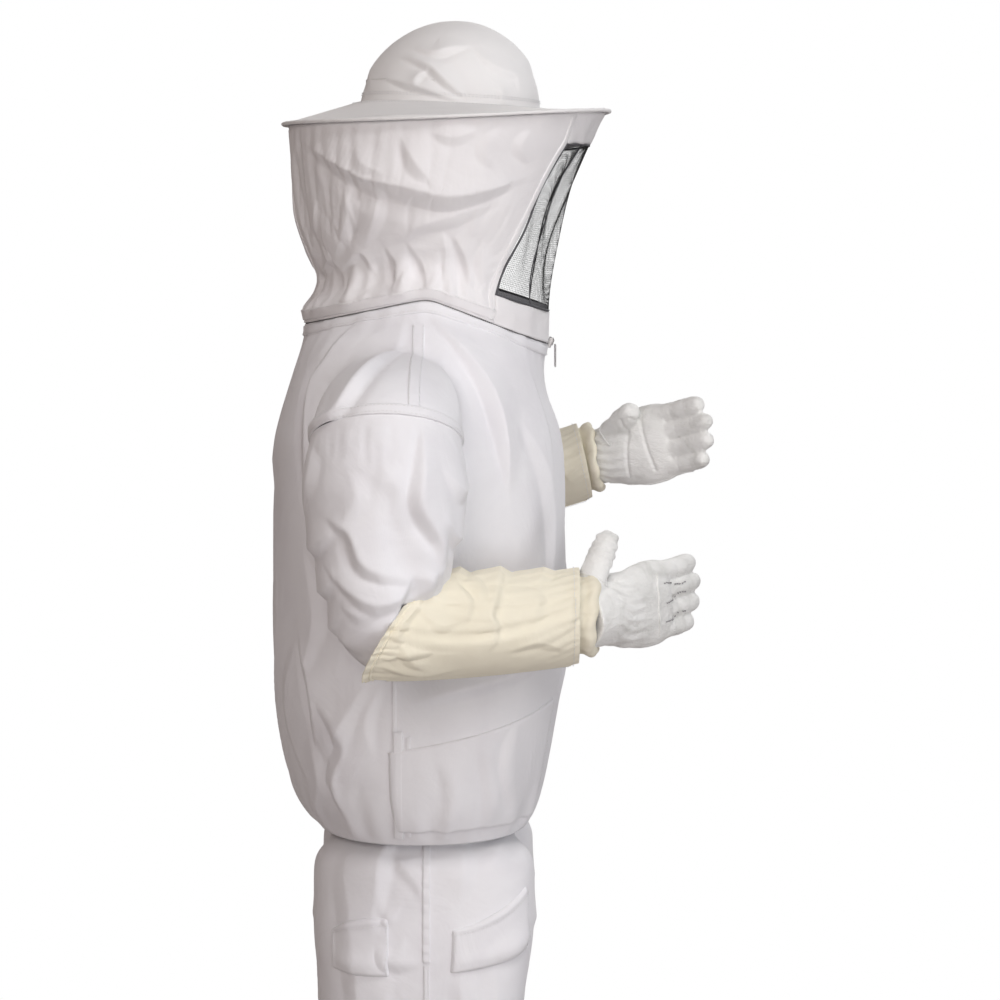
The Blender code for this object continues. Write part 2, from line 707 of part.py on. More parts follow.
def hand_pieces(arm, shrink):
    """The closed rings of the palm, the fingers and the thumb, all smaller by shrink."""
    fingers, back, side = hand_frame(arm)
    elbow, axis = forearm(arm)
    wrist = elbow + axis * (GAUNTLET_END + WRIST_BAND_LENGTH + 4 * GAP)

    def place(along, out, across):
        return wrist + fingers * along + back * out + side * across

    def ring(centre, direction, wide, thick, count):
        return tube_ring(centre, direction, max(0.002, thick - shrink), max(0.002, wide - shrink), side, count)

    palm = [ring(place(s, 0, 0), fingers, w, t, PALM_SIDES) for s, w, t in PALM]
    if shrink:
        end, width, thickness = PALM[-1]
        palm[0] = ring(place(-0.02, 0, 0), fingers, PALM[0][1], PALM[0][2], PALM_SIDES)
        palm[-1] = ring(place(end - 2 * shrink, 0, 0), fingers, width, thickness, PALM_SIDES)
    pieces = {"palm": palm}
    for number, (across, length, radius) in enumerate(FINGERS):
        start = 0.078
        rows = []
        for share, girth in FINGER_PROFILE:
            bend = -FINGER_CURL * length * share**2
            reach = length * share * (1 - (2.5 * shrink / length if shrink else 0))
            rows.append(ring(place(start + reach, bend, across), fingers, radius * girth, radius * girth, FINGER_SIDES))
        pieces[f"finger_{number}"] = rows
    t = arm["thumb"]
    direction = (fingers * t[0] - back * t[1] + side * t[2]).normalized()
    root = place(0.022, -0.004, 0.018)
    rows = []
    for share, girth in FINGER_PROFILE:
        reach = THUMB_LENGTH * share * (1 - (2.5 * shrink / THUMB_LENGTH if shrink else 0))
        rows.append(
            tube_ring(
                root + direction * reach,
                direction,
                max(0.002, THUMB_RADIUS * girth - shrink),
                max(0.002, THUMB_RADIUS * girth - shrink),
                back,
                FINGER_SIDES,
            )
        )
    pieces["thumb"] = rows
    return pieces


def joined(name, pieces, slot=None):
    """The union of several lofts, the first of which carries the rest."""
    first, *rest = pieces.items()
    obj = add_object(name, solid_mesh(name, first[1]), slot)
    for piece, rings in rest:
        boolean(obj, add_object(f"{name}_{piece}", solid_mesh(f"{name}_{piece}", rings)), "UNION")
    return obj


def make_glove(name, arm):
    shell(f"glove_gauntlet_{name}", gauntlet_rings(arm), "canvas", THIN)
    elbow, axis = forearm(arm)
    across = arm_across(arm)

    def wrist_band(angle, along):
        radius = (0.041 - 0.35 * (along - GAUNTLET_END)) * (arm["girth"] + 1) / 2
        u = across.cross(axis)
        return elbow + axis * along + (u * math.cos(angle) + across * math.sin(angle)) * radius

    start = GAUNTLET_END + 2 * GAP
    band(f"glove_wrist_band_{name}", "canvas", wrist_band, (start, start + WRIST_BAND_LENGTH), THIN, SLEEVE_SIDES)

    hollow = joined(f"{name}_hand_inside", hand_pieces(arm, THIN))
    hand = joined(f"glove_hand_{name}", hand_pieces(arm, 0.0), "leather")
    boolean(hand, hollow)

    first = gauntlet_rings(arm, grow=0.0036)

    path = bpy.data.curves.new(f"gauntlet_elastic_{name}", "CURVE")
    path.dimensions = "3D"
    path.bevel_depth = 0.0030
    path.bevel_resolution = 1
    spline = path.splines.new("POLY")
    spline.points.add(len(first[0]) - 1)
    for point, place in zip(spline.points, first[0]):
        point.co = (*place, 1.0)
    spline.use_cyclic_u = True
    elastic = bpy.data.objects.new(f"gauntlet_elastic_{name}", path)
    PARTS.objects.link(elastic)
    path.materials.append(material("canvas"))
    elastic.parent = SUIT_FRAME


# ---------------------------------------------------------------- trousers
def seat_ring(row):
    height, back, front, half_width = row
    return [Vector((*oval(a, back, front, half_width), height)) for a in turns(BAND_SIDES)]


def leg_ring(row, sign):
    height, back, front, centre, half_width = row
    ring = []
    for angle in turns(LEG_SIDES):
        x, y = oval(angle, back, front, half_width)
        ring.append(Vector((x, sign * centre + y, height)))
    return ring


def make_trousers():
    seat = [seat_ring(row) for row in SEAT_RINGS]
    hollow = inset_rings(seat, CLOTH)[2:]  # leaves the crotch closed
    seat_inside = add_object("seat_inside", solid_mesh("seat_inside", hollow))
    outside = solid_mesh("trousers_outside", seat)
    reach = 2.0
    sides = {}
    for name, sign in (("left", 1), ("right", -1)):
        rings = [leg_ring(row, sign) for row in LEG_RINGS]
        leg = add_object(f"leg_{name}", solid_mesh(f"leg_{name}", rings))
        inside = add_object(f"leg_{name}_inside", solid_mesh(f"leg_{name}_inside", inset_rings(rings, CLOTH)))
        low, high = (-reach, GAP / 2) if sign > 0 else (-GAP / 2, reach)
        other = box_cutter(f"beyond_the_middle_{name}", (-reach, low, 0), (reach, high, reach))
        sides[name] = (leg, inside, other)
    cuts = {
        "front": box_cutter("trouser_back_half", (-reach, -reach, 0), (TROUSER_SEAM_X + GAP / 2, reach, reach)),
        "back": box_cutter("trouser_front_half", (TROUSER_SEAM_X - GAP / 2, -reach, 0), (reach, reach, reach)),
    }
    below = box_cutter("below_the_knees", (-reach, -reach, -reach), (reach, reach, KNEE_HEIGHT + GAP / 2))
    above = box_cutter("above_the_knees", (-reach, -reach, KNEE_HEIGHT - GAP / 2), (reach, reach, reach))
    for side, (leg, inside, other) in sides.items():
        for face, cut in cuts.items():
            panel = add_object(f"trouser_{face}_{side}", outside.copy(), "cotton")
            boolean(panel, leg, "UNION")
            for cutter in (seat_inside, inside, other, cut, below):
                boolean(panel, cutter)
        shank = add_object(f"trouser_lower_leg_{side}", leg.data.copy(), "cotton")
        for cutter in (inside, above):
            boolean(shank, cutter)

    def waist_ring(angle, height):
        return Vector((*oval(angle, -0.102, 0.102, 0.150), height))

    band("trouser_waistband", "elastic", waist_ring, (WAIST_BAND_BOTTOM, WAIST_BAND_TOP), CLOTH)
    for name, sign in (("left", 1), ("right", -1)):

        def ankle_ring(angle, height):
            return Vector(
                (
                    ANKLE_X + ANKLE_RADIUS * math.cos(angle),
                    sign * ANKLE_Y + ANKLE_RADIUS * math.sin(angle),
                    height,
                )
            )

        band(f"ankle_elastic_{name}", "elastic", ankle_ring, (ANKLE_BOTTOM, ANKLE_TOP), CLOTH, LEG_SIDES)


def leg_surface(sign, angle, height, lift):
    """A point on a leg's outer surface, lifted off it. The angle runs from the front to the outer side."""
    for high, low in zip(LEG_RINGS[1:], LEG_RINGS[2:]):
        if low[0] <= height <= high[0]:
            share = (height - low[0]) / (high[0] - low[0])
            back, front, centre, half = (low[k] + (high[k] - low[k]) * share for k in (1, 2, 3, 4))
            x, y = oval(angle, back, front, half)
            flat = Vector((x / (front - back), y / (2 * half), 0)).normalized()
            point = Vector((x, y, height)) + flat * lift
            return Vector((point.x, sign * (centre + point.y), height))
    raise ValueError(height)


def make_trouser_pockets():
    """A patch pocket before and behind each outer leg seam."""
    for name, sign in (("left", 1), ("right", -1)):
        for face, first, last, bottom in (("front", 24, 78, 0.705), ("back", 104, 142, 0.690)):
            angles = [math.radians(a) for a in even(first, last, 5)]
            rows = []
            for height in even(bottom, 0.779, 2):
                rows.append([leg_surface(sign, a, height, 0.0045) for a in angles])
            sheet(f"trouser_{face}_pocket_{name}", rows, "cotton", 0.002)


# ---------------------------------------------------------------- what moves
def pivot(name, place, parent, pieces):
    """An empty on a joint's axis, which carries the pieces that move there."""
    empty = bpy.data.objects.new(name, None)
    PARTS.objects.link(empty)
    PIVOTS[name] = Vector(place)
    empty.parent = bpy.data.objects[parent]
    empty.location = PIVOTS[name] - PIVOTS[parent]
    for piece in pieces:
        obj = bpy.data.objects[piece]
        obj.parent = empty
        obj.location = obj.location - PIVOTS[name]


def make_pivots():
    hood = ["hat_crown", "hat_brim", "brim_binding", "hat_sweatband", "hood_zip_tape", "veil_net"]
    hood += ["veil_cloth_left", "veil_cloth_right", "veil_forehead_cloth", "veil_chin_band"]
    pivot("hood_pivot", neck_point(math.pi, HOOD_HINGE_OUT, 0), "suit_frame", hood)

    waist = ["trouser_waistband"]
    for side in ("left", "right"):
        waist += [f"trouser_{face}_{side}" for face in ("front", "back")]
        waist += [f"trouser_{face}_pocket_{side}" for face in ("front", "back")]
    pivot("trouser_pivot", (0, 0, WAIST_BAND_TOP), "suit_frame", waist)

    for side, sign in (("left", 1), ("right", -1)):
        angle = sign * SLIDER_ANGLE
        centre = (ZIP_CENTRE_X, 0, ZIP_CENTRE_HEIGHT)
        pivot(f"slider_pivot_{side}", centre, "suit_frame", [f"zip_slider_{side}"])
        swing = neck_point(angle, PULL_OUT, -PULL_DROP)
        pivot(f"pull_pivot_{side}", swing, f"slider_pivot_{side}", [f"zip_pull_{side}"])

        seam, _ = sleeve_seam(sign)
        elbow, _ = forearm(ARMS[side])
        pivot(f"arm_pivot_{side}", seam, "suit_frame", [f"sleeve_upper_{side}"])
        lower = [f"sleeve_fore_{side}", f"sleeve_cuff_{side}"]
        pivot(f"elbow_pivot_{side}", elbow, f"arm_pivot_{side}", lower)
        glove = [f"glove_gauntlet_{side}", f"glove_wrist_band_{side}", f"glove_hand_{side}"]
        glove.append(f"gauntlet_elastic_{side}")
        pivot(f"glove_pivot_{side}", ARMS[side]["wrist"], f"elbow_pivot_{side}", glove)

        knee = (KNEE_HINGE_X, sign * KNEE_Y, KNEE_HEIGHT)
        shank = [f"trouser_lower_leg_{side}", f"ankle_elastic_{side}"]
        pivot(f"knee_pivot_{side}", knee, "trouser_pivot", shank)


clear_scene()
PARTS = collection("beekeeping_suit")
CUTTERS = collection("cutters")
SUIT_FRAME = bpy.data.objects.new("suit_frame", None)
SUIT_FRAME.location = (0.0, 0.0, -NECK_HEIGHT)
PARTS.objects.link(SUIT_FRAME)
PIVOTS = {"suit_frame": Vector()}

make_hat()
make_veil()
make_zip()
make_smock()
make_smock_pockets()
for arm_name, arm_data in ARMS.items():
    make_sleeve(arm_name, arm_data)
    make_glove(arm_name, arm_data)
make_trousers()
make_trouser_pockets()
make_pivots()
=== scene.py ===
"""Looks of a two-piece beekeeping suit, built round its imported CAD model.

Metres, in the row frame: the suit faces +X, its left side is +Y and the origin is the middle of the
neck. Heights in the tables are above the wearer's floor, and up() turns them into the row's Z. A
section's angle runs from the front towards the left side.
"""

import math

import bmesh
import bpy
import numpy as np
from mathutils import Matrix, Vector, noise
from mathutils.bvhtree import BVHTree


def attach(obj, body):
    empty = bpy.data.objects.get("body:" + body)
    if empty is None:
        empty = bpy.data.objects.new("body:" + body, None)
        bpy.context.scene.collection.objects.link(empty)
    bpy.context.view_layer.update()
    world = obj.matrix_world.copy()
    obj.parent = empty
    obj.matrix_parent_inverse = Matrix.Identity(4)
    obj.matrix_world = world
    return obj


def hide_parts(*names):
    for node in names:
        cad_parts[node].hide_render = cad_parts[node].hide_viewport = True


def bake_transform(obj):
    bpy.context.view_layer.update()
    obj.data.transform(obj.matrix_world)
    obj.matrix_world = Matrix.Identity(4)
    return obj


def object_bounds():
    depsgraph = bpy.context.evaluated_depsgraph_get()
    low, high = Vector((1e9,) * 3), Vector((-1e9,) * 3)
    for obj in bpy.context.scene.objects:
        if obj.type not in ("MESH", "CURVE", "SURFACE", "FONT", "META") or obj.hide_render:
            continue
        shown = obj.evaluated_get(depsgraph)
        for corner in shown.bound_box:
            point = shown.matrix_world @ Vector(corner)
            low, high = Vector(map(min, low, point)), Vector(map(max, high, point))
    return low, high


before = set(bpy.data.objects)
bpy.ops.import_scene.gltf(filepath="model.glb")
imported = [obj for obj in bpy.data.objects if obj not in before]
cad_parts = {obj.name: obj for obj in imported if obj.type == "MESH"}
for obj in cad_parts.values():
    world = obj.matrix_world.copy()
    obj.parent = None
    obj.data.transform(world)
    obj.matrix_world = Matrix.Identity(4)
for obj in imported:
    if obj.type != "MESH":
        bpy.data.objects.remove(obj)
cad_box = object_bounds()

NECK_HEIGHT = 1.425
SIDES = (("left", 1), ("right", -1))
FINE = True


def up(height):
    return height - NECK_HEIGHT


# ---------------------------------------------------------------- camera, light and stage
EYE = Vector((0.086, -3.5, 0.093))
TARGET = Vector((0.086, 0.0, -0.198))
FRAME_WIDTH = 1.163  # what the camera sees at the suit's middle
SENSOR = 36.0


def make_camera():
    data = bpy.data.cameras.new("camera")
    data.sensor_width = SENSOR
    data.lens = SENSOR * (TARGET - EYE).length / FRAME_WIDTH
    camera = bpy.data.objects.new("camera", data)
    bpy.context.scene.collection.objects.link(camera)
    camera.location = EYE
    camera.rotation_euler = (TARGET - EYE).to_track_quat("-Z", "Y").to_euler()
    bpy.context.scene.camera = camera


LIT = Vector((0.0, 0.0, -0.2))  # the place every light is turned to
LIGHTS = (
    # name, place, size, power and colour
    ("key", (3.2, -1.6, 1.6), 1.2, 18.0, (1.0, 0.995, 1.0)),
    ("top", (1.0, -2.6, 3.2), 1.0, 45.0, (1.0, 0.995, 0.99)),
    ("fill", (-0.8, -3.8, 1.1), 1.6, 50.0, (1.0, 0.94, 0.9)),
    ("low front", (2.4, -2.6, -0.7), 1.2, 28.0, (0.98, 0.985, 1.0)),
    ("far side", (1.4, 3.2, 1.8), 1.6, 42.0, (1.0, 0.985, 0.97)),
)


def area_light(name, place, size, power, colour):
    data = bpy.data.lights.new(name, "AREA")
    data.size = size
    data.energy = power
    data.color = colour
    light = bpy.data.objects.new(name, data)
    bpy.context.scene.collection.objects.link(light)
    light.location = place
    light.rotation_euler = (LIT - Vector(place)).to_track_quat("-Z", "Y").to_euler()


AMBIENT = 0.25
AMBIENT_SIDE = (0.85, -0.25, 0.45)  # where the paler half of the ambient light comes from
AMBIENT_DARK, AMBIENT_PALE = (0.58, 0.39, 0.3, 1.0), (0.97, 0.97, 1.0, 1.0)
AMBIENT_FADE = 0.6  # how far to each side of the middle the two halves mix


def add_node(tree, kind, inputs=(), **settings):
    """A node with its settings, and its inputs given as values or as the sockets that feed them."""
    node = tree.nodes.new(kind)
    for key, value in settings.items():
        setattr(node, key, value)
    for key, value in dict(inputs).items():
        if isinstance(value, bpy.types.NodeSocket):
            tree.links.new(value, node.inputs[key])
        else:
            node.inputs[key].default_value = value
    return node


def make_world():
    """White where the camera sees it, and on the suit dim, warmer and darker behind its back."""
    world = bpy.data.worlds.new("studio")
    bpy.context.scene.world = world
    world.use_nodes = True
    tree = world.node_tree
    tree.nodes.clear()
    seen = add_node(tree, "ShaderNodeBackground", {"Color": (1.0, 1.0, 1.0, 1.0)})
    place = add_node(tree, "ShaderNodeTexCoord").outputs["Generated"]
    sides = {0: place, 1: AMBIENT_SIDE}
    facing = add_node(tree, "ShaderNodeVectorMath", sides, operation="DOT_PRODUCT")
    fade = {
        "Value": facing.outputs["Value"],
        "From Min": -AMBIENT_FADE,
        "From Max": AMBIENT_FADE,
    }
    ramp = add_node(tree, "ShaderNodeMapRange", fade)
    tints = {"A": AMBIENT_DARK, "B": AMBIENT_PALE, "Factor": ramp.outputs[0]}
    tint = add_node(tree, "ShaderNodeMix", tints, data_type="RGBA").outputs["Result"]
    felt = add_node(tree, "ShaderNodeBackground", {"Color": tint, "Strength": AMBIENT})
    camera_sees = add_node(tree, "ShaderNodeLightPath").outputs["Is Camera Ray"]
    shaders = {"Fac": camera_sees, 1: felt.outputs[0], 2: seen.outputs[0]}
    mix = add_node(tree, "ShaderNodeMixShader", shaders)
    add_node(tree, "ShaderNodeOutputWorld", {"Surface": mix.outputs[0]})


FLOOR_COLOUR = (0.45, 0.42, 0.41, 1.0)
FLOOR_FADE = (0.6, 2.2)  # distances from the suit between which the floor turns white
FLOOR_FADE_START = 0.5  # how white the floor already is beside the suit


def floor_material():
    """A pale floor that fades to plain white away from the suit, where only the camera sees it."""
    n = Nodes("floor")
    n.shader.inputs["Base Color"].default_value = FLOOR_COLOUR
    n.shader.inputs["Roughness"].default_value = 0.8
    distance = n.add("ShaderNodeVectorMath", {0: n.place}, operation="LENGTH").outputs["Value"]
    fade = {
        "Value": distance,
        "From Min": FLOOR_FADE[0],
        "From Max": FLOOR_FADE[1],
        "To Min": FLOOR_FADE_START,
    }
    far = n.add("ShaderNodeMapRange", fade).outputs[0]
    camera_sees = n.add("ShaderNodeLightPath").outputs["Is Camera Ray"]
    white = n.add("ShaderNodeEmission").outputs[0]
    shaders = {0: n.math("MULTIPLY", far, camera_sees), 1: n.shader.outputs[0], 2: white}
    mix = n.add("ShaderNodeMixShader", shaders)
    n.links.new(mix.outputs[0], n.nodes["Material Output"].inputs["Surface"])
    return n.material


def make_stage():
    bpy.ops.mesh.primitive_circle_add(
        vertices=96,
        radius=14.0,
        fill_type="NGON",
        location=(0, 0, cad_box[0][2] - 0.001),
    )
    floor = bpy.context.object
    floor.name = "floor"
    floor.data.materials.append(floor_material())
    bpy.context.scene.view_settings.view_transform = "Standard"
    make_world()
    for row in LIGHTS:
        area_light(*row)


# ---------------------------------------------------------------- materials
def plain_material(name, colour, roughness):
    made = bpy.data.materials.new(name)
    made.use_nodes = True
    shader = made.node_tree.nodes["Principled BSDF"]
    shader.inputs["Base Color"].default_value = (*colour, 1.0)
    shader.inputs["Roughness"].default_value = roughness
    return made


class Nodes:
    """A material's node tree, with short ways to add what the cloths share."""

    def __init__(self, name):
        self.material = bpy.data.materials.new(name)
        self.material.use_nodes = True
        self.nodes = self.material.node_tree.nodes
        self.links = self.material.node_tree.links
        self.shader = self.nodes["Principled BSDF"]
        self.place = self.nodes.new("ShaderNodeTexCoord").outputs["Object"]
        self.normal = None

    def add(self, kind, inputs=(), **settings):
        return add_node(self.material.node_tree, kind, inputs, **settings)

    def math(self, operation, a, b):
        return self.add("ShaderNodeMath", {0: a, 1: b}, operation=operation).outputs[0]

    def noise(self, scale, detail=3.0, distortion=0.0, stretch=(1, 1, 1)):
        place = self.add("ShaderNodeMapping", {"Scale": stretch, "Vector": self.place}).outputs[0]
        inputs = {"Scale": scale, "Detail": detail, "Distortion": distortion, "Vector": place}
        return self.add("ShaderNodeTexNoise", inputs).outputs["Fac"]

    def voronoi(self, scale):
        inputs = {"Scale": scale, "Vector": self.place}
        return self.add("ShaderNodeTexVoronoi", inputs).outputs["Distance"]

    def wave(self, scale, turn, distortion=0.3):
        place = self.add("ShaderNodeMapping", {"Rotation": turn, "Vector": self.place}).outputs[0]
        inputs = {"Scale": scale, "Distortion": distortion, "Vector": place}
        return self.add("ShaderNodeTexWave", inputs).outputs["Fac"]

    def weave(self, thread):
        """Two sets of threads that cross, whatever way the cloth faces."""
        scale = 1.0 / (thread * 6.28)
        warp = self.wave(scale, (0.0, 0.0, 0.8))
        weft = self.wave(scale, (0.0, math.pi / 2, 0.3))
        return self.math("MULTIPLY", self.math("ADD", warp, weft), 0.5)

    def bump(self, height, distance, strength=1.0):
        inputs = {"Distance": distance, "Strength": strength, "Height": height}
        if self.normal:
            inputs["Normal"] = self.normal
        self.normal = self.add("ShaderNodeBump", inputs).outputs[0]
        self.links.new(self.normal, self.shader.inputs["Normal"])

    def colour(self, factor, stops):
        ramp = self.nodes.new("ShaderNodeValToRGB")
        ramp.color_ramp.elements[0].position, first = stops[0]
        ramp.color_ramp.elements[0].color = (*first, 1.0)
        ramp.color_ramp.elements[1].position, last = stops[-1]
        ramp.color_ramp.elements[1].color = (*last, 1.0)
        for position, shade in stops[1:-1]:
            ramp.color_ramp.elements.new(position).color = (*shade, 1.0)
        self.links.new(factor, ramp.inputs["Fac"])
        self.links.new(ramp.outputs[0], self.shader.inputs["Base Color"])

    def rough(self, factor, low, high):
        node = self.add("ShaderNodeMapRange", {"To Min": low, "To Max": high, "Value": factor})
        self.links.new(node.outputs[0], self.shader.inputs["Roughness"])


def cloth_material(name, pale, dark, thread, crease, sheen=0.25):
    """Woven cotton: uneven yarn, a weave, soft pressed creases and a trace of handling in its colour."""
    m = Nodes(name)
    m.shader.inputs["Sheen Weight"].default_value = sheen
    m.shader.inputs["Specular IOR Level"].default_value = 0.25
    m.colour(m.noise(9.0, 4.0, 0.6), ((0.32, dark), (0.52, pale), (0.75, pale)))
    m.rough(m.noise(160.0, 2.0), 0.78, 0.95)
    m.bump(m.noise(13.0, 3.0, 1.4), 0.006, crease)
    m.bump(m.noise(48.0, 2.0, 0.8), 0.0012, crease)
    m.bump(m.weave(thread), thread * 0.35, 0.35)
    m.bump(m.noise(0.9 / thread, 2.0), thread * 0.3, 0.35)
    return m.material


def leather_material():
    """Soft white goatskin: pebbled grain, shallow wrinkles and greyer hollows."""
    m = Nodes("leather")
    m.shader.inputs["Specular IOR Level"].default_value = 0.4
    m.colour(
        m.noise(30.0, 5.0, 0.8),
        ((0.3, (0.7, 0.7, 0.68)), (0.5, (0.84, 0.84, 0.825)), (0.8, (0.88, 0.88, 0.87))),
    )
    m.rough(m.noise(220.0, 3.0), 0.48, 0.66)
    m.bump(m.noise(70.0, 4.0, 2.2, (1.0, 1.0, 2.2)), 0.0022, 0.55)
    m.bump(m.voronoi(900.0), 0.00035, 0.5)
    return m.material


def net_material():
    m = Nodes("net")
    m.colour(m.noise(300.0, 2.0), ((0.3, (0.012, 0.012, 0.012)), (0.7, (0.03, 0.03, 0.028))))
    m.rough(m.noise(500.0), 0.45, 0.65)
    return m.material


def metal_material():
    m = Nodes("zip_metal")
    m.shader.inputs["Metallic"].default_value = 1.0
    m.colour(m.noise(220.0, 3.0), ((0.3, (0.58, 0.58, 0.59)), (0.7, (0.74, 0.74, 0.75))))
    m.rough(m.noise(400.0, 3.0), 0.22, 0.4)
    m.bump(m.noise(900.0, 2.0), 0.0001, 0.3)
    return m.material


def ribbed_material(name, pale, dark):
    """Woven elastic, ribbed round the limb."""
    m = Nodes(name)
    m.colour(m.noise(60.0, 3.0), ((0.35, dark), (0.65, pale)))
    m.rough(m.noise(200.0), 0.7, 0.9)
    m.bump(m.wave(110.0, (0.0, math.pi / 2, 0.0), 0.2), 0.0006, 0.7)
    m.bump(m.weave(0.0006), 0.0002, 0.6)
    return m.material


def thread_material(name, colour):
    m = Nodes(name)
    dark = tuple(0.85 * c for c in colour)
    m.colour(m.noise(900.0), ((0.3, dark), (0.7, colour)))
    m.bump(m.wave(700.0, (0.4, 0.6, 0.0)), 0.0001, 0.6)
    m.shader.inputs["Roughness"].default_value = 0.7
    return m.material


def make_materials():
    return {
        "cotton": cloth_material("cotton", (0.84, 0.835, 0.865), (0.8, 0.79, 0.825), 0.00045, 0.3),
        "hat_cloth": cloth_material(
            "hat_cloth", (0.84, 0.832, 0.835), (0.8, 0.79, 0.795), 0.00045, 0.16
        ),
        "veil_cloth": cloth_material(
            "veil_cloth", (0.84, 0.825, 0.84), (0.8, 0.782, 0.8), 0.0004, 0.32
        ),
        "canvas": cloth_material("canvas", (0.86, 0.81, 0.67), (0.82, 0.765, 0.62), 0.0006, 0.36, 0.1),
        "leather": leather_material(),
        "net": net_material(),
        "zip_metal": metal_material(),
        "zip_tape": cloth_material("zip_tape", (0.82, 0.81, 0.83), (0.78, 0.77, 0.79), 0.0006, 0.05),
        "elastic": ribbed_material("elastic", (0.82, 0.81, 0.8), (0.74, 0.73, 0.72)),
        "white_thread": thread_material("white_thread", (0.86, 0.86, 0.87)),
        "dark_thread": thread_material("dark_thread", (0.1, 0.1, 0.11)),
        "grey_thread": thread_material("grey_thread", (0.3, 0.29, 0.3)),
        "net_hem": plain_material("net_hem", (0.17, 0.17, 0.18), 0.8),
    }


# ---------------------------------------------------------------- mesh helpers
def link(obj):
    bpy.context.scene.collection.objects.link(obj)
    return obj


def mesh_object(name, points, faces):
    mesh = bpy.data.meshes.new(name)
    mesh.from_pydata(
        np.asarray(points, float).reshape(-1, 3).tolist(),
        [],
        [tuple(map(int, f)) for f in faces],
    )
    mesh.shade_smooth()
    return link(bpy.data.objects.new(name, mesh))


def grid_quads(rows, cols, closed):
    index = np.arange(rows * cols).reshape(rows, cols)
    right = np.roll(index, -1, axis=1)
    quads = np.stack([index[:-1], right[:-1], right[1:], index[1:]], axis=-1)
    if not closed:
        quads = quads[:, :-1]
    return quads.reshape(-1, 4)


def grid_object(name, points, closed=False):
    return mesh_object(name, points, grid_quads(points.shape[0], points.shape[1], closed))


def turns(count):
    return np.arange(count) * (2 * math.pi / count)


def smooth(points, count):
    """Values on a smooth curve through the given ones, evenly spaced between them."""
    p = np.asarray(points, float)
    p = np.concatenate([2 * p[:1] - p[1:2], p, 2 * p[-1:] - p[-2:-1]])
    t = np.linspace(0, len(p) - 3, count)
    k = np.minimum(t.astype(int), len(p) - 4)
    u = (t - k).reshape((-1,) + (1,) * (p.ndim - 1))
    a, b, c, d = p[k], p[k + 1], p[k + 2], p[k + 3]
    square, cube = 2 * a - 5 * b + 4 * c - d, 3 * b - a - 3 * c + d
    return 0.5 * (2 * b + (c - a) * u + square * u**2 + cube * u**3)


def oval(angle, back, front, half_width, exponent=2.3):
    """A rounded-square section whose front and back differ."""
    centre, half = (back + front) / 2, (front - back) / 2
    c, s = np.cos(angle), np.sin(angle)
    power = 2 / exponent
    return centre + half * np.sign(c) * np.abs(c) ** power, half_width * np.sign(s) * np.abs(s) ** power


def level(x, y, height):
    """Points of a section, at one height above the floor or at a height each."""
    return np.stack([x, y, up(height) + 0 * x], axis=-1)


def outwards(angle):
    return np.stack([np.cos(angle), np.sin(angle), 0 * angle], axis=-1)


def unit(v):
    v = np.asarray(v, float)
    return v / np.linalg.norm(v)


def rings_on_path(path, radii, across, count, sides):
    """Rings round a smooth path. across keeps the sections from twisting."""
    centre = smooth(path, count)
    radius = smooth(np.asarray(radii, float).reshape(len(radii), -1), count)
    tangent = np.gradient(centre, axis=0)
    tangent /= np.linalg.norm(tangent, axis=1, keepdims=True)
    v = np.asarray(across, float) - tangent * (tangent @ np.asarray(across, float))[:, None]
    v /= np.linalg.norm(v, axis=1, keepdims=True)
    u = np.cross(v, tangent)
    a = turns(sides)
    wide, thick = radius[:, 0], radius[:, -1]
    return (
        centre[:, None]
        + v[:, None] * (np.sin(a)[None, :, None] * wide[:, None, None])
        + u[:, None] * (np.cos(a)[None, :, None] * thick[:, None, None])
    )


def coords(obj):
    out = np.zeros(len(obj.data.vertices) * 3)
    obj.data.vertices.foreach_get("co", out)
    return out.reshape(-1, 3)


def set_coords(obj, points):
    obj.data.vertices.foreach_set("co", np.asarray(points, float).reshape(-1))
    obj.data.update()


def normals(obj):
    out = np.zeros(len(obj.data.vertices) * 3)
    obj.data.vertices.foreach_get("normal", out)
    return out.reshape(-1, 3)


def face_out(obj):
    bm = bmesh.new()
    bm.from_mesh(obj.data)
    bmesh.ops.recalc_face_normals(bm, faces=bm.faces)
    bm.to_mesh(obj.data)
    bm.free()


def face_away(obj, centre):
    """Turns the faces of an open surface away from a point or a line of points."""
    points, n = coords(obj), normals(obj)
    if ((points - centre) * n).sum() < 0:
        obj.data.flip_normals()


def apply_modifiers(obj):
    depsgraph = bpy.context.evaluated_depsgraph_get()
    mesh = bpy.data.meshes.new_from_object(obj.evaluated_get(depsgraph))
    old = obj.data
    obj.modifiers.clear()
    obj.data = mesh
    bpy.data.meshes.remove(old)
    mesh.shade_smooth()
    return obj


def remesh(obj, voxel):
    modifier = obj.modifiers.new("remesh", "REMESH")
    modifier.mode = "VOXEL"
    modifier.voxel_size = voxel
    apply_modifiers(obj)


def subdivide(obj, levels=1):
    modifier = obj.modifiers.new("subdivision", "SUBSURF")
    modifier.levels = modifier.render_levels = levels
    apply_modifiers(obj)


def thicken(obj, thickness, offset=-1.0):
    modifier = obj.modifiers.new("thickness", "SOLIDIFY")
    modifier.thickness = thickness
    modifier.offset = offset
    apply_modifiers(obj)


def smooth_mesh(obj, factor, repeat):
    modifier = obj.modifiers.new("smooth", "SMOOTH")
    modifier.factor = factor
    modifier.iterations = repeat
    apply_modifiers(obj)


def join(name, parts):
    """One object from several, whose meshes keep their own places."""
    bm = bmesh.new()
    for part in parts:
        bm.from_mesh(part.data)
        bpy.data.objects.remove(part)
    mesh = bpy.data.meshes.new(name)
    bm.to_mesh(mesh)
    bm.free()
    mesh.shade_smooth()
    return link(bpy.data.objects.new(name, mesh))


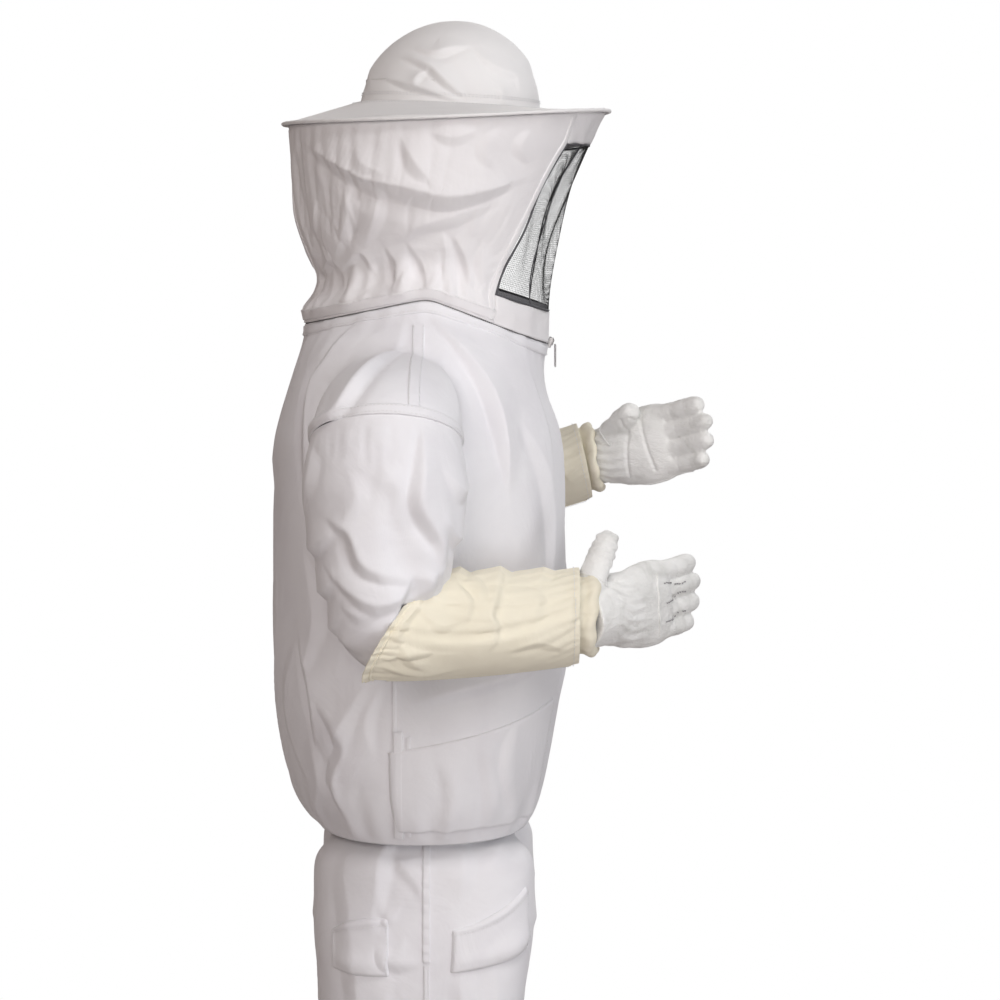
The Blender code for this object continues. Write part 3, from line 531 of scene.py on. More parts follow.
def closed_tube(name, rings):
    """A closed solid through rings, with its ends filled."""
    rows, cols = rings.shape[:2]
    faces = grid_quads(rows, cols, True).tolist()
    faces.append(list(range(cols))[::-1])
    faces.append(list(range((rows - 1) * cols, rows * cols)))
    obj = mesh_object(name, rings, faces)
    face_out(obj)
    return obj


def finish(obj, slot, body, replaced=(), look=None):
    obj.data.materials.clear()
    obj.data.materials.append(MATERIALS[look or slot])
    if body:
        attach(obj, body)
    if replaced:
        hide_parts(*replaced)
    return obj


# ---------------------------------------------------------------- cloth
GRAVITY_SHARE = 0.35
POINT_MASS = 0.06
CLOTH_FRAMES = 16
HANGING = []


def hang(obj, hold, cut, limit, bending=0.6):
    """Cloth cut to the shape in cut; hold is how firmly each point keeps its place, 0 free to 1 sewn."""
    start = coords(obj)
    group = obj.vertex_groups.new(name="held")
    for level in np.unique(np.round(hold, 2)):
        if level > 0:
            group.add(np.flatnonzero(np.round(hold, 2) == level).tolist(), float(level), "REPLACE")
    obj.shape_key_add(name="worn")
    key = obj.shape_key_add(name="cut")
    key.data.foreach_set("co", np.asarray(cut, float).reshape(-1))
    cloth = obj.modifiers.new("cloth", "CLOTH")
    settings = cloth.settings
    settings.quality = 4
    settings.mass = POINT_MASS
    settings.effector_weights.gravity = GRAVITY_SHARE
    settings.air_damping = 2.0
    settings.tension_stiffness = settings.compression_stiffness = 12.0
    settings.shear_stiffness = 4.0
    settings.tension_damping = settings.compression_damping = 3.0
    settings.bending_stiffness = bending
    settings.vertex_group_mass = "held"
    settings.pin_stiffness = 1.0
    settings.rest_shape_key = key
    cloth.collision_settings.use_collision = False
    cloth.point_cache.frame_start = 1
    cloth.point_cache.frame_end = CLOTH_FRAMES
    HANGING.append((obj, start, limit))


def settle():
    """Lets all the hanging cloth fall into its folds, then keeps each piece near its first shape."""
    scene = bpy.context.scene
    if FINE:
        for number in range(1, CLOTH_FRAMES + 1):
            scene.frame_set(number)
    depsgraph = bpy.context.evaluated_depsgraph_get()
    results = []
    for obj, start, _ in HANGING:
        results.append(coords(obj.evaluated_get(depsgraph)) if FINE else start)
    for (obj, start, limit), moved in zip(HANGING, results):
        obj.modifiers.clear()
        obj.shape_key_clear()
        obj.vertex_groups.clear()
        shift = np.nan_to_num(moved - start)
        length = np.linalg.norm(shift, axis=1, keepdims=True) + 1e-9
        set_coords(obj, start + shift * (limit * np.tanh(length / limit) / length))
    scene.frame_set(1)
    HANGING.clear()


def surface_of(*objects):
    """What rays and nearest-point searches see of the finished cloth."""
    bm = bmesh.new()
    for obj in objects:
        bm.from_mesh(obj.data)
    tree = BVHTree.FromBMesh(bm)
    bm.free()
    return tree


# the way one looks from each side
VIEWS = {
    "right": (0, 1, 0),
    "left": (0, -1, 0),
    "front": (-1, 0, 0),
    "back": (1, 0, 0),
    "top": (0, 0, -1),
}


def on_surface(surface, view, places):
    """Points on a surface seen from one side. A place is (across, height), or (x, y) from the top."""
    direction = Vector(VIEWS[view])
    found = []
    for a, b in places:
        if view in ("right", "left"):
            origin = Vector((a, 0, up(b)))
        elif view == "top":
            origin = Vector((a, b, 0))
        else:
            origin = Vector((0, a, up(b)))
        hit = surface.ray_cast(origin - direction * 2.0, direction)[0]
        if hit:
            found.append(hit)
    return found


def fold_all(obj, *tables):
    """Presses rows of creases into the cloth."""
    surface = surface_of(obj)
    for table in tables:
        for view, line, width, height in table:
            crease(obj, surface, view, line, width, height)


FOLD_HEIGHT = 0.58  # share of a crease's height that the cloth keeps once worn


def crease(obj, surface, view, places, width, height, share=0.35):
    """A fold along a line, dying away at its ends: a long slope, and a short drop on its lower side."""
    line = on_surface(surface, view, places)
    if len(line) < 2:
        return
    path = smooth([tuple(p) for p in line], 48)
    points, n = coords(obj), normals(obj)
    reach = 6 * width
    in_reach = (points > path.min(axis=0) - reach) & (points < path.max(axis=0) + reach)
    near = np.flatnonzero(in_reach.all(axis=1))
    offset = points[near][:, None] - path[None]
    nearest = np.linalg.norm(offset, axis=2).argmin(axis=1)
    tangent = np.gradient(path, axis=0)[nearest]
    tangent /= np.linalg.norm(tangent, axis=1, keepdims=True)
    away = offset[np.arange(len(near)), nearest]
    aside = np.cross(n[near], tangent)
    fade = np.sin(np.pi * np.clip(0.02 + 0.96 * nearest / (len(path) - 1), 0, 1))
    signed = (away * aside).sum(axis=1) / (width * (0.4 + 0.75 * fade))
    if aside[:, 2].mean() > 0:
        signed = -signed
    past = (away * tangent).sum(axis=1) / (2 * width)
    level = (away * n[near]).sum(axis=1) / (4 * width)
    hollow = np.clip(1 - np.abs(signed - 1.5) / 1.4, 0, 1) ** 1.5
    steep = np.clip(1 - signed / 1.3, 0, 1) ** 1.2 - share * hollow
    gentle = np.clip(1 + signed / 4.2, 0, 1)
    profile = np.where(signed > 0, steep, gentle**1.6)
    strength = profile * fade * np.exp(-(past**2)) * np.exp(-(level**2))
    points[near] += n[near] * (strength * height * FOLD_HEIGHT)[:, None]
    set_coords(obj, points)


# ------------------------------------------------------- seams, stitches and patches laid on the cloth
def closed_line(ring):
    """A ring's points and its first point again."""
    return np.concatenate([ring, ring[:1]])


def path_on(surface, places, count, lift):
    """A smooth path that follows the cloth, with the cloth's outward normals."""
    line = smooth(np.array([tuple(p) for p in places]), count)
    points, out = [], []
    for p in line:
        hit, normal, _, _ = surface.find_nearest(Vector(p))
        points.append(tuple(hit + normal * lift))
        out.append(tuple(normal))
    points, out = np.array(points), np.array(out)
    for _ in range(2):
        out[1:-1] = (out[:-2] + 2 * out[1:-1] + out[2:]) / 4
    out /= np.linalg.norm(out, axis=1, keepdims=True)
    return points, out


def tape(name, surface, places, width, height, spacing=0.005, lift=0.0002, ruche=0.0):
    """A strip of doubled cloth sewn on the surface, thicker along its middle and bunched by its ruche."""
    length = np.linalg.norm(np.diff(np.array([tuple(p) for p in places]), axis=0), axis=1).sum()
    count = max(6, int(length / spacing))
    points, out = path_on(surface, places, count, lift)
    tangent = np.gradient(points, axis=0)
    tangent /= np.linalg.norm(tangent, axis=1, keepdims=True)
    side = np.cross(out, tangent)
    profile = (
        (-0.5, -0.7), (-0.47, 0.75), (-0.36, 1.0), (0.0, 0.85), (0.36, 1.0), (0.47, 0.75),
        (0.5, -0.7),
    )
    rows = []
    bunch = 1 + ruche * np.sin(np.arange(count) * 1.9) * np.sin(np.arange(count) * 0.47 + 1)
    for share, rise in profile:
        row = points + side * (share * width)
        laid = []
        for p, n, swell in zip(row, out, bunch):
            hit = surface.find_nearest(Vector(p))[0]
            laid.append(tuple(hit + Vector(n) * (rise * height * swell + lift)))
        rows.append(laid)
    return grid_object(name, np.array(rows))


def stitches(name, surface, places, length=0.003, gap=0.0014, width=0.0007, lift=0.0006):
    """A row of short threads along a path on the cloth."""
    total = np.linalg.norm(np.diff(np.array([tuple(p) for p in places]), axis=0), axis=1).sum()
    count = max(2, int(total / (length + gap)))
    points, out = path_on(surface, places, count * 2 + 1, lift)
    verts, faces = [], []
    for k in range(count):
        a, b, n = points[2 * k], points[2 * k + 1], out[2 * k]
        if np.array_equal(a, b):
            continue
        along = unit(b - a)
        side = np.cross(n, along) * width / 2
        middle = (a + b) / 2
        start, end = middle - along * length / 2, middle + along * length / 2
        base = len(verts)
        for p, rise in ((start, -0.3), (middle, 0.5), (end, -0.3)):
            verts += [
                p + side + n * rise * width,
                p + n * (rise + 0.6) * width,
                p - side + n * rise * width,
            ]
        for step in (0, 3):
            for j in (0, 1):
                i = base + step + j
                faces.append((i, i + 3, i + 4, i + 1))
    return mesh_object(name, verts, faces)


def patch(name, surface, grid, rise, fold=0.12):
    """A pocket or panel laid on the cloth, its edges turned down. grid holds points near the surface."""
    rows, cols = grid.shape[:2]
    u = np.linspace(0, 1, rows)[:, None]
    v = np.linspace(0, 1, cols)[None]
    edge = np.minimum(np.minimum(u, 1 - u), np.minimum(v, 1 - v))
    height = np.where(edge <= 0, -0.4 * rise, rise * (1 + 0.25 * np.exp(-edge / fold * 4)))
    out = []
    for i in range(rows):
        for j in range(cols):
            hit, normal, _, _ = surface.find_nearest(Vector(grid[i, j]))
            out.append(tuple(hit + normal * float(height[i, j])))
    return grid_object(name, np.array(out).reshape(rows, cols, 3))


def tube_along(name, points, radius, sides=8, closed=True):
    """A thin round tube through points."""
    points = np.asarray(points, float)
    if closed:
        tangent = np.roll(points, -1, axis=0) - np.roll(points, 1, axis=0)
    else:
        tangent = np.gradient(points, axis=0)
    tangent /= np.linalg.norm(tangent, axis=1, keepdims=True)
    guide = np.array([0.03, 0.05, 1.0])
    u = np.cross(tangent, guide)
    u /= np.linalg.norm(u, axis=1, keepdims=True)
    v = np.cross(tangent, u)
    a = turns(sides)
    radius = np.broadcast_to(np.asarray(radius, float).reshape(-1, 1, 1), (len(points), 1, 1))
    around = u[:, None] * np.cos(a)[None, :, None] + v[:, None] * np.sin(a)[None, :, None]
    rings = points[:, None] + around * radius
    rows, cols = rings.shape[:2]
    faces = grid_quads(rows, cols, True).tolist()
    if closed:
        last = (rows - 1) * cols
        faces += [(last + j, last + (j + 1) % cols, (j + 1) % cols, j) for j in range(cols)]
    else:
        faces.append(list(range(cols)))
        faces.append(list(range((rows - 1) * cols, rows * cols)))
    obj = mesh_object(name, rings, faces)
    face_out(obj)
    return obj


# --------------------------------------------------- the hood zip's ring, which hood and smock share
ZIP_CENTRE_X, ZIP_CENTRE_HEIGHT, ZIP_RADIUS = 0.004, 1.462, 0.1443
ZIP_FRONT_TILT, ZIP_BACK_TILT = math.radians(21.0), math.radians(11.5)
ZIP_BEND = 0.06  # how softly the ring bends on the shoulders
# the cloth flaps that cover the zip: how far outside its tape, and how near its middle
FLAP_OUT, FLAP_EDGE = 0.0022, 0.0017


def neck_points(angle, offset, lift):
    """Points on the zip's ring: two half circles that meet, bent, on the shoulders."""
    forward = np.cos(angle)
    tilt = np.where(forward > 0, ZIP_FRONT_TILT, ZIP_BACK_TILT)
    radius = ZIP_RADIUS + offset
    x = ZIP_CENTRE_X + radius * forward * np.cos(tilt)
    drop = (np.sqrt(forward**2 + ZIP_BEND**2) - ZIP_BEND) / (math.sqrt(1 + ZIP_BEND**2) - ZIP_BEND)
    height = ZIP_CENTRE_HEIGHT - ZIP_RADIUS * drop * np.sin(tilt) + lift
    return np.stack(np.broadcast_arrays(x, radius * np.sin(angle), up(height)), axis=-1)


def make_zip():
    """Two rows of teeth on the tapes, seen as a dark line between the flaps."""
    for name, body, side in (("hood", "hood", 1), ("neck", "smock", -1)):
        angle = turns(240)
        rows = [neck_points(angle, 0.0, side * lift) for lift in (0.0006, 0.003, 0.006, 0.009)]
        tape_cloth = grid_object(f"{name}_zip_cloth", np.array(rows), closed=True)
        face_away(tape_cloth, np.array((0, 0, up(ZIP_CENTRE_HEIGHT))))
        thicken(tape_cloth, 0.0012, 0.0)
        finish(tape_cloth, "zip_tape", body, [f"{name}_zip_tape"])
        verts, faces = [], []
        for k in range(TEETH):
            a = 2 * math.pi * (k + (0.5 if side > 0 else 0.0)) / TEETH
            centre = neck_points(np.array([a]), 0.0002, side * 0.00075)[0]
            radial = np.array((math.cos(a), math.sin(a), 0.0))
            around = np.array((-math.sin(a), math.cos(a), 0.0))
            base = len(verts)
            for r, t, h in TOOTH_CORNERS:
                verts.append(centre + radial * r + around * t + np.array((0, 0, side * h)))
            faces += [[base + i for i in f] for f in BOX_FACES]
        teeth = mesh_object(f"{name}_zip_teeth", verts, faces)
        teeth.data.shade_flat()
        finish(teeth, "zip_tape", body, look="grey_thread")


TEETH = 330
TOOTH_HALF = (0.0011, 0.00065, 0.0007)  # half its depth, its width round the neck, and its height
TOOTH_CORNERS = [
    (r * TOOTH_HALF[0], t * TOOTH_HALF[1], h * TOOTH_HALF[2])
    for r in (-1, 1)
    for t in (-1, 1)
    for h in (-1, 1)
]
BOX_FACES = ((0, 1, 3, 2), (4, 6, 7, 5), (0, 4, 5, 1), (2, 3, 7, 6), (0, 2, 6, 4), (1, 5, 7, 3))


# ---------------------------------------------------------------- hat
BRIM_CENTRE_X, BRIM_HALF_LENGTH, BRIM_HALF_WIDTH = 0.0245, 0.185, 0.183
BRIM_HEIGHT, BRIM_FRONT_RISE, BRIM_SIDE_DROOP = 1.668, 0.0076, 0.006
CROWN_CENTRE_X, CROWN_HALF_LENGTH, CROWN_HALF_WIDTH = 0.029, 0.1035, 0.097
CROWN_TOP = 1.779
CROWN_PROFILE = (
    (0.0, 1.0), (0.25, 0.95), (0.5, 0.85), (0.72, 0.68), (0.88, 0.46), (0.97, 0.23),
    (1.0, 0.0),
)


def crown_base(angle):
    c = np.cos(angle)
    height = BRIM_HEIGHT + 0.55 * BRIM_FRONT_RISE * c + 0.0125 - 0.009 * c
    x = CROWN_CENTRE_X + CROWN_HALF_LENGTH * c
    return np.stack(np.broadcast_arrays(x, CROWN_HALF_WIDTH * np.sin(angle), up(height)), axis=-1)


def brim_rim(angle):
    c, s = np.cos(angle), np.sin(angle)
    height = BRIM_HEIGHT + BRIM_FRONT_RISE * c - BRIM_SIDE_DROOP * s**2
    x = BRIM_CENTRE_X + BRIM_HALF_LENGTH * c
    return np.stack(np.broadcast_arrays(x, BRIM_HALF_WIDTH * s, up(height)), axis=-1)


def brim_points(angle, share):
    share = np.asarray(share)[..., None]
    return crown_base(angle) * (1 - share) + brim_rim(angle) * share


CROWN_CREASES = (
    (
        "right",
        ((-0.024, 1.733), (0.006, 1.722), (0.026, 1.704), (0.046, 1.688), (0.066, 1.678)),
        0.0045, 0.012,
    ),
    ("right", ((-0.044, 1.71), (-0.02, 1.703), (0.004, 1.696), (0.04, 1.682)), 0.004, 0.009),
    ("right", ((0.006, 1.72), (-0.006, 1.708), (-0.008, 1.698)), 0.0035, 0.0067),
    (
        "right",
        ((0.056, 1.744), (0.07, 1.728), (0.088, 1.718), (0.104, 1.712), (0.108, 1.692)),
        0.005, 0.006,
    ),
    ("right", ((-0.01, 1.744), (0.012, 1.738), (0.03, 1.742), (0.052, 1.746)), 0.0055, 0.0075),
    ("right", ((0.082, 1.7), (0.088, 1.69), (0.084, 1.68)), 0.0045, 0.0053),
    ("left", ((-0.035, 1.722), (0.005, 1.726), (0.048, 1.7), (0.075, 1.684)), 0.006, 0.0067),
    ("left", ((-0.028, 1.7), (0.015, 1.694), (0.06, 1.706)), 0.0055, 0.0048),
    ("front", ((-0.05, 1.72), (-0.01, 1.733), (0.04, 1.712)), 0.011, 0.003),
    ("back", ((-0.045, 1.7), (0.0, 1.722), (0.05, 1.698)), 0.011, 0.003),
)


def crown_rings(sides, rows):
    profile = smooth(CROWN_PROFILE, rows)
    angle = turns(sides)
    base = crown_base(angle) + np.array((0, 0, 0.0005))
    rings = []
    for height_share, radius_share in profile:
        centre_x = CROWN_CENTRE_X + 0.006 * height_share
        x = centre_x + (base[:, 0] - CROWN_CENTRE_X) * radius_share
        z = base[:, 2] + (up(CROWN_TOP) - base[:, 2]) * height_share
        rings.append(np.stack([x, base[:, 1] * radius_share, z], axis=-1))
    return np.array(rings)


def start_crown():
    rings = crown_rings(120, 42)
    crown = grid_object("crown_cloth", rings, closed=True)
    face_away(crown, np.array((CROWN_CENTRE_X, 0, up(CROWN_TOP) - 0.06)))
    start = coords(crown)
    centre = np.array((CROWN_CENTRE_X, 0, up(BRIM_HEIGHT)))
    cut = centre + (start - centre) * 1.02
    hold = np.full(len(start), 0.3)
    hold[:120] = 1.0
    hang(crown, hold, cut, 0.004, bending=1.2)
    return crown


def finish_hat(crown):
    subdivide(crown)
    fold_all(crown, CROWN_CREASES)
    surface = surface_of(crown)
    angle = turns(180)
    parts = []
    for rise in (0.006, 0.0085):
        ring = crown_base(angle) + np.array((0, 0, rise + 0.003))
        parts.append(stitches("crown_stitches", surface, closed_line(ring)))
    thicken(crown, 0.0012)
    finish(crown, "hat_cloth", "hood", ["hat_crown"])
    finish(join("crown_stitching", parts), "hat_cloth", "hood", look="white_thread")

    shares = np.linspace(0.0, 1.0, 26)
    rows = []
    for share in shares:
        ring = brim_points(angle, np.full(len(angle), share))
        wave = 0.001 * np.sin(3 * angle + 0.7) + 0.0007 * np.sin(7 * angle + 2.0)
        ring[:, 2] += wave * share * (1 - 0.4 * share) * 1.6
        rows.append(ring)
    brim = grid_object("brim_cloth", np.array(rows), closed=True)
    if normals(brim)[:, 2].sum() < 0:
        brim.data.flip_normals()
    top = surface_of(brim)
    thicken(brim, 0.003, 0.0)
    finish(brim, "hat_cloth", "hood", ["hat_brim"])
    parts = []
    for share in (0.1, 0.965):
        ring = brim_points(angle, np.full(len(angle), share))
        parts.append(stitches("brim_stitches", top, closed_line(ring), lift=0.0018))
    finish(join("brim_stitching", parts), "hat_cloth", "hood", look="white_thread")

    angle = turns(320)
    ring = brim_rim(angle) + outwards(angle) * 0.0026
    radius = 0.0021 * (1 + 0.06 * np.sin(61 * angle) + 0.05 * np.sin(37 * angle + 1.0))
    binding = tube_along("brim_edge", ring, radius, 10)
    finish(binding, "hat_cloth", "hood", ["brim_binding"])

    angle = turns(160)
    rows = []
    middle = np.array((CROWN_CENTRE_X, 0))
    for height in np.linspace(0.003, 0.026, 7):
        ring = crown_base(angle)
        ring[:, :2] = middle + (ring[:, :2] - middle) * 0.93
        ring[:, 2] += height
        rows.append(ring)
    band = grid_object("sweatband_cloth", np.array(rows), closed=True)
    thicken(band, 0.0016, 0.0)
    finish(band, "elastic", "hood", ["hat_sweatband"])


# ---------------------------------------------------------------- veil
NET_TOP, NET_BOTTOM = 0.135, 0.865
NET_ANGLE_TOP, NET_ANGLE_BOTTOM = 35.0, 57.0
VEIL_FRONT_TUCK = 0.02
VEIL_EDGE = -0.0001  # the veil's flap hides the zip's middle
VEIL_CREASES = (
    (
        "right",
        (
            (-0.128, 1.634), (-0.1, 1.616), (-0.062, 1.598), (-0.008, 1.585), (0.03, 1.578),
            (0.078, 1.586), (0.1, 1.592),
        ),
        0.013, 0.019,
    ),
    ("right", ((-0.022, 1.64), (-0.006, 1.612), (0.01, 1.59)), 0.008, 0.0072),
    ("right", ((-0.072, 1.63), (-0.062, 1.61), (-0.04, 1.6)), 0.0069, 0.005),
    ("right", ((0.01, 1.645), (0.036, 1.64), (0.06, 1.648)), 0.0069, 0.0043),
    ("right", ((0.12, 1.648), (0.108, 1.63), (0.118, 1.612)), 0.0069, 0.0043),
    ("right", ((0.09, 1.65), (0.07, 1.626), (0.082, 1.606)), 0.0075, 0.0043),
    ("right", ((-0.092, 1.6), (-0.082, 1.56), (-0.098, 1.51)), 0.0092, 0.0065),
    ("right", ((-0.05, 1.59), (-0.052, 1.555), (-0.066, 1.52)), 0.008, 0.0058),
    ("right", ((-0.118, 1.58), (-0.122, 1.545), (-0.112, 1.515)), 0.0075, 0.005),
    ("right", ((-0.03, 1.528), (0.0, 1.545), (0.04, 1.556), (0.088, 1.574)), 0.0098, 0.0072),
    ("right", ((-0.118, 1.525), (-0.108, 1.505), (-0.122, 1.482)), 0.0057, 0.0061),
    ("right", ((-0.092, 1.495), (-0.07, 1.515), (-0.052, 1.49)), 0.0057, 0.0058),
    ("right", ((-0.04, 1.52), (-0.028, 1.5), (-0.034, 1.47)), 0.0057, 0.0061),
    ("right", ((-0.016, 1.525), (0.0, 1.505), (0.006, 1.475)), 0.0052, 0.0058),
    ("right", ((0.022, 1.535), (0.026, 1.51), (0.018, 1.47)), 0.0057, 0.0061),
    ("right", ((0.036, 1.532), (0.048, 1.508), (0.054, 1.474)), 0.0052, 0.0058),
    ("right", ((0.068, 1.524), (0.064, 1.5), (0.072, 1.47)), 0.0057, 0.0043),
    (
        "left",
        ((-0.12, 1.634), (-0.06, 1.598), (0.0, 1.582), (0.06, 1.588), (0.1, 1.598)),
        0.0126, 0.0108,
    ),
    ("left", ((-0.03, 1.64), (-0.01, 1.612), (-0.02, 1.592)), 0.008, 0.0058),
    ("left", ((-0.08, 1.585), (-0.086, 1.545), (-0.07, 1.5)), 0.0092, 0.0065),
    ("left", ((-0.03, 1.57), (-0.024, 1.535), (-0.04, 1.5)), 0.008, 0.0058),
    ("left", ((0.01, 1.56), (0.02, 1.52), (0.01, 1.475)), 0.0069, 0.0058),
    ("left", ((0.05, 1.555), (0.046, 1.515), (0.058, 1.478)), 0.0063, 0.0058),
    ("left", ((-0.06, 1.5), (-0.044, 1.485), (-0.052, 1.465)), 0.0057, 0.005),
    ("back", ((-0.07, 1.65), (-0.04, 1.6), (-0.055, 1.52), (-0.04, 1.46)), 0.0115, 0.0079),
    ("back", ((0.06, 1.64), (0.03, 1.58), (0.05, 1.5), (0.036, 1.455)), 0.0109, 0.0079),
    ("back", ((-0.01, 1.6), (0.005, 1.54), (-0.004, 1.47)), 0.0086, 0.0058),
    ("back", ((0.09, 1.56), (0.08, 1.52), (0.096, 1.48)), 0.008, 0.0058),
    ("back", ((-0.1, 1.56), (-0.088, 1.515), (-0.1, 1.475)), 0.008, 0.0058),
)


def veil_points(angle, down):
    """down is 0 at the brim and 1 at the zip."""
    top = brim_points(angle, np.full(np.shape(angle), 0.955))
    top[..., 2] -= 0.003
    foot = neck_points(angle, FLAP_OUT + 0.001, VEIL_EDGE)
    down = np.broadcast_to(down, np.shape(angle))[..., None]
    ahead = np.maximum(0.0, np.cos(angle))[..., None]
    tuck = VEIL_FRONT_TUCK * np.sin(math.pi * down) * ahead**1.5
    waist = 0.019 * np.exp(-(((down - 0.76) / 0.15) ** 2))
    waist = waist - 0.004 * np.exp(-(((down - 0.93) / 0.05) ** 2))
    fullness = (0.005 * np.sin(math.pi * np.minimum(1, down * 1.6)) - waist * (down < 1)) * (1 - ahead)
    outward = outwards(angle)
    return top * (1 - down) + foot * down + outward * (fullness - tuck)


def net_angle(down):
    share = np.clip((down - NET_TOP) / (NET_BOTTOM - NET_TOP), 0.0, 1.0)
    return np.radians(NET_ANGLE_TOP + (NET_ANGLE_BOTTOM - NET_ANGLE_TOP) * share**0.8)


def gathers(angle, seed, counts=(31, 47, 68)):
    """Uneven small pleats round a drawn-in edge, from -1 to 1."""
    total = 0.0
    for k, count in enumerate(counts):
        slow = 0.6 + 0.4 * np.sin(angle * (3 + 2 * k) + seed * 1.7 + k)
        bend = 0.8 * np.sin(angle * 5 + seed)
        total = total + slow * np.sin(count * angle + seed + 2.1 * k + bend) / (1 + 0.5 * k)
    return total / 2.0


def start_veil():
    downs = np.linspace(0.0, 1.0, 66)
    rows = []
    for down in downs:
        edge = float(net_angle(down))
        angle = np.linspace(edge, 2 * math.pi - edge, 230)
        points = veil_points(angle, down)
        outward = outwards(angle)
        drawn = np.exp(-(((down - 0.86) / 0.15) ** 2)) * min(1.0, (1 - down) * 14)
        pleats = gathers(angle + 0.1 * (0.9 - down), 1.3, (17, 29, 44))
        points = points + outward * (np.sign(pleats) * np.abs(pleats) ** 0.8 * 0.0062 * drawn)[:, None]
        top_drawn = np.exp(-((down / 0.1) ** 2)) * min(1.0, down * 20)
        points = points + outward * (gathers(angle, 4.1) * 0.0016 * top_drawn)[:, None]
        rows.append(points)
    veil = grid_object("veil_drape", np.array(rows))
    face_away(veil, np.array((0.01, 0, up(1.56))))
    start = coords(veil)
    axis = np.array((0.008, 0.0, up(1.66)))
    cut = axis + (start - axis) * np.array((1.05, 1.05, 1.045))
    index = np.arange(len(start)).reshape(66, 230)
    hold = np.full(len(start), 0.035)
    hold[index[:2].ravel()] = hold[index[-2:].ravel()] = 1.0
    hold[index[:, :2].ravel()] = hold[index[:, -2:].ravel()] = 0.9
    hang(veil, hold, cut, 0.012, bending=0.35)
    return veil


def veil_panel(name, first, last, row_count):
    """A panel across the front of the veil, between the cloth's edges."""
    rows = []
    for down in np.linspace(first, last, row_count):
        edge = float(net_angle(down)) + 0.004
        rows.append(veil_points(np.linspace(-edge, edge, 70), down))
    panel = grid_object(name, np.array(rows))
    face_away(panel, np.array((0.0, 0, up(1.56))))
    return panel


def net_surface_point(angle, down):
    """The net hangs in a few soft folds."""
    points = veil_points(angle, down)
    swell = np.sin(math.pi * (np.asarray(down) - NET_TOP) / (NET_BOTTOM - NET_TOP))
    outward = outwards(angle)
    folds = 0.005 * np.sin(angle * 8.0 + 3.0 * down + 0.6) + 0.0025 * np.sin(angle * 17.0 - 5.0 * down)
    return points + outward * (folds * swell - 0.004 * swell)[..., None]


NET_CELL, NET_THREAD = 0.0025, 0.00024


def make_net():
    width, height = 0.285, 0.195
    cols, rows_count = int(width / NET_CELL), int(height / NET_CELL)
    rows = []
    for down in np.linspace(NET_TOP, NET_BOTTOM, rows_count):
        edge = float(net_angle(down)) - 0.004
        angle = np.linspace(-edge, edge, cols)
        rows.append(net_surface_point(angle, down))
    net = grid_object("net_window", np.array(rows))
    wire = net.modifiers.new("threads", "WIREFRAME")
    wire.thickness = NET_THREAD
    wire.use_even_offset = False
    wire.use_boundary = True
    apply_modifiers(net)
    finish(net, "net", "hood", ["veil_net"])
    parts = []
    downs = np.linspace(NET_TOP, NET_BOTTOM, 60)
    for edge in (-1.0, 1.0):
        for inset, radius in ((0.01, 0.0013), (0.42, 0.00075)):
            line = []
            for down in downs:
                half = float(net_angle(down))
                angle = np.array([edge * half * (1 - inset)])
                line.append(net_surface_point(angle, down)[0])
            parts.append(tube_along("net_seam", line, radius, 8, closed=False))
    for down, radius in ((NET_TOP + 0.004, 0.0012), (NET_BOTTOM - 0.006, 0.0012)):
        half = float(net_angle(down))
        angle = np.linspace(-half, half, 90)
        parts.append(tube_along("net_edge", net_surface_point(angle, down), radius, 8, closed=False))
    finish(join("net_seams", parts), "net", "hood", look="dark_thread")
    strip = []
    for down in np.linspace(NET_BOTTOM - 0.03, NET_BOTTOM, 8):
        half = float(net_angle(down)) - 0.01
        row = net_surface_point(np.linspace(-half, half, 90), down)
        strip.append(row * np.array((0.994, 0.994, 1.0)))
    hem = grid_object("net_hem", np.array(strip))
    thicken(hem, 0.0006, 0.0)
    finish(hem, "net", "hood", look="net_hem")


def finish_veil(veil):
    subdivide(veil)
    fold_all(veil, VEIL_CREASES)
    surface = surface_of(veil)
    edges = []
    for side in (1, -1):
        line = []
        for down in np.linspace(0.02, 0.985, 40):
            edge = float(net_angle(down)) + 0.03
            line.append(veil_points(np.array([side * edge]), down)[0])
        edges.append(line)
    tapes = [tape("veil_edge", surface, line, 0.0075, 0.0011) for line in edges]
    foot = veil_points(np.linspace(0.97, 2 * math.pi - 0.97, 60), 0.958)
    tapes.append(tape("veil_foot", surface, foot, 0.013, 0.0013))
    centre_back = [veil_points(np.array([math.pi]), d)[0] for d in np.linspace(0.02, 0.95, 24)]
    tapes.append(tape("veil_back_seam", surface, centre_back, 0.006, 0.0008))
    trim = join("veil_seams", tapes)
    rows = [stitches("veil_stitches", surface, line, lift=0.0014) for line in edges]
    lower_row = veil_points(np.linspace(0.97, 5.31, 60), 0.94)
    rows.append(stitches("veil_stitches", surface, lower_row, lift=0.0016))
    stitching = join("veil_stitching", rows)
    thicken(veil, 0.001)
    finish(veil, "cotton", "hood", ["veil_cloth_left", "veil_cloth_right"], look="veil_cloth")
    finish(trim, "cotton", "hood", look="veil_cloth")
    finish(stitching, "cotton", "hood", look="white_thread")

    forehead = veil_panel("forehead_cloth", 0.0, NET_TOP, 14)
    chin = veil_panel("chin_cloth", NET_BOTTOM, 1.0, 16)
    for panel, node in ((forehead, "veil_forehead_cloth"), (chin, "veil_chin_band")):
        points, n = coords(panel), normals(panel)
        ripple = np.array([noise.noise(Vector(p) * 38.0) for p in points])
        set_coords(panel, points + n * (ripple * 0.0022)[:, None])
        thicken(panel, 0.0012)
        finish(panel, "cotton", "hood", [node], look="veil_cloth")


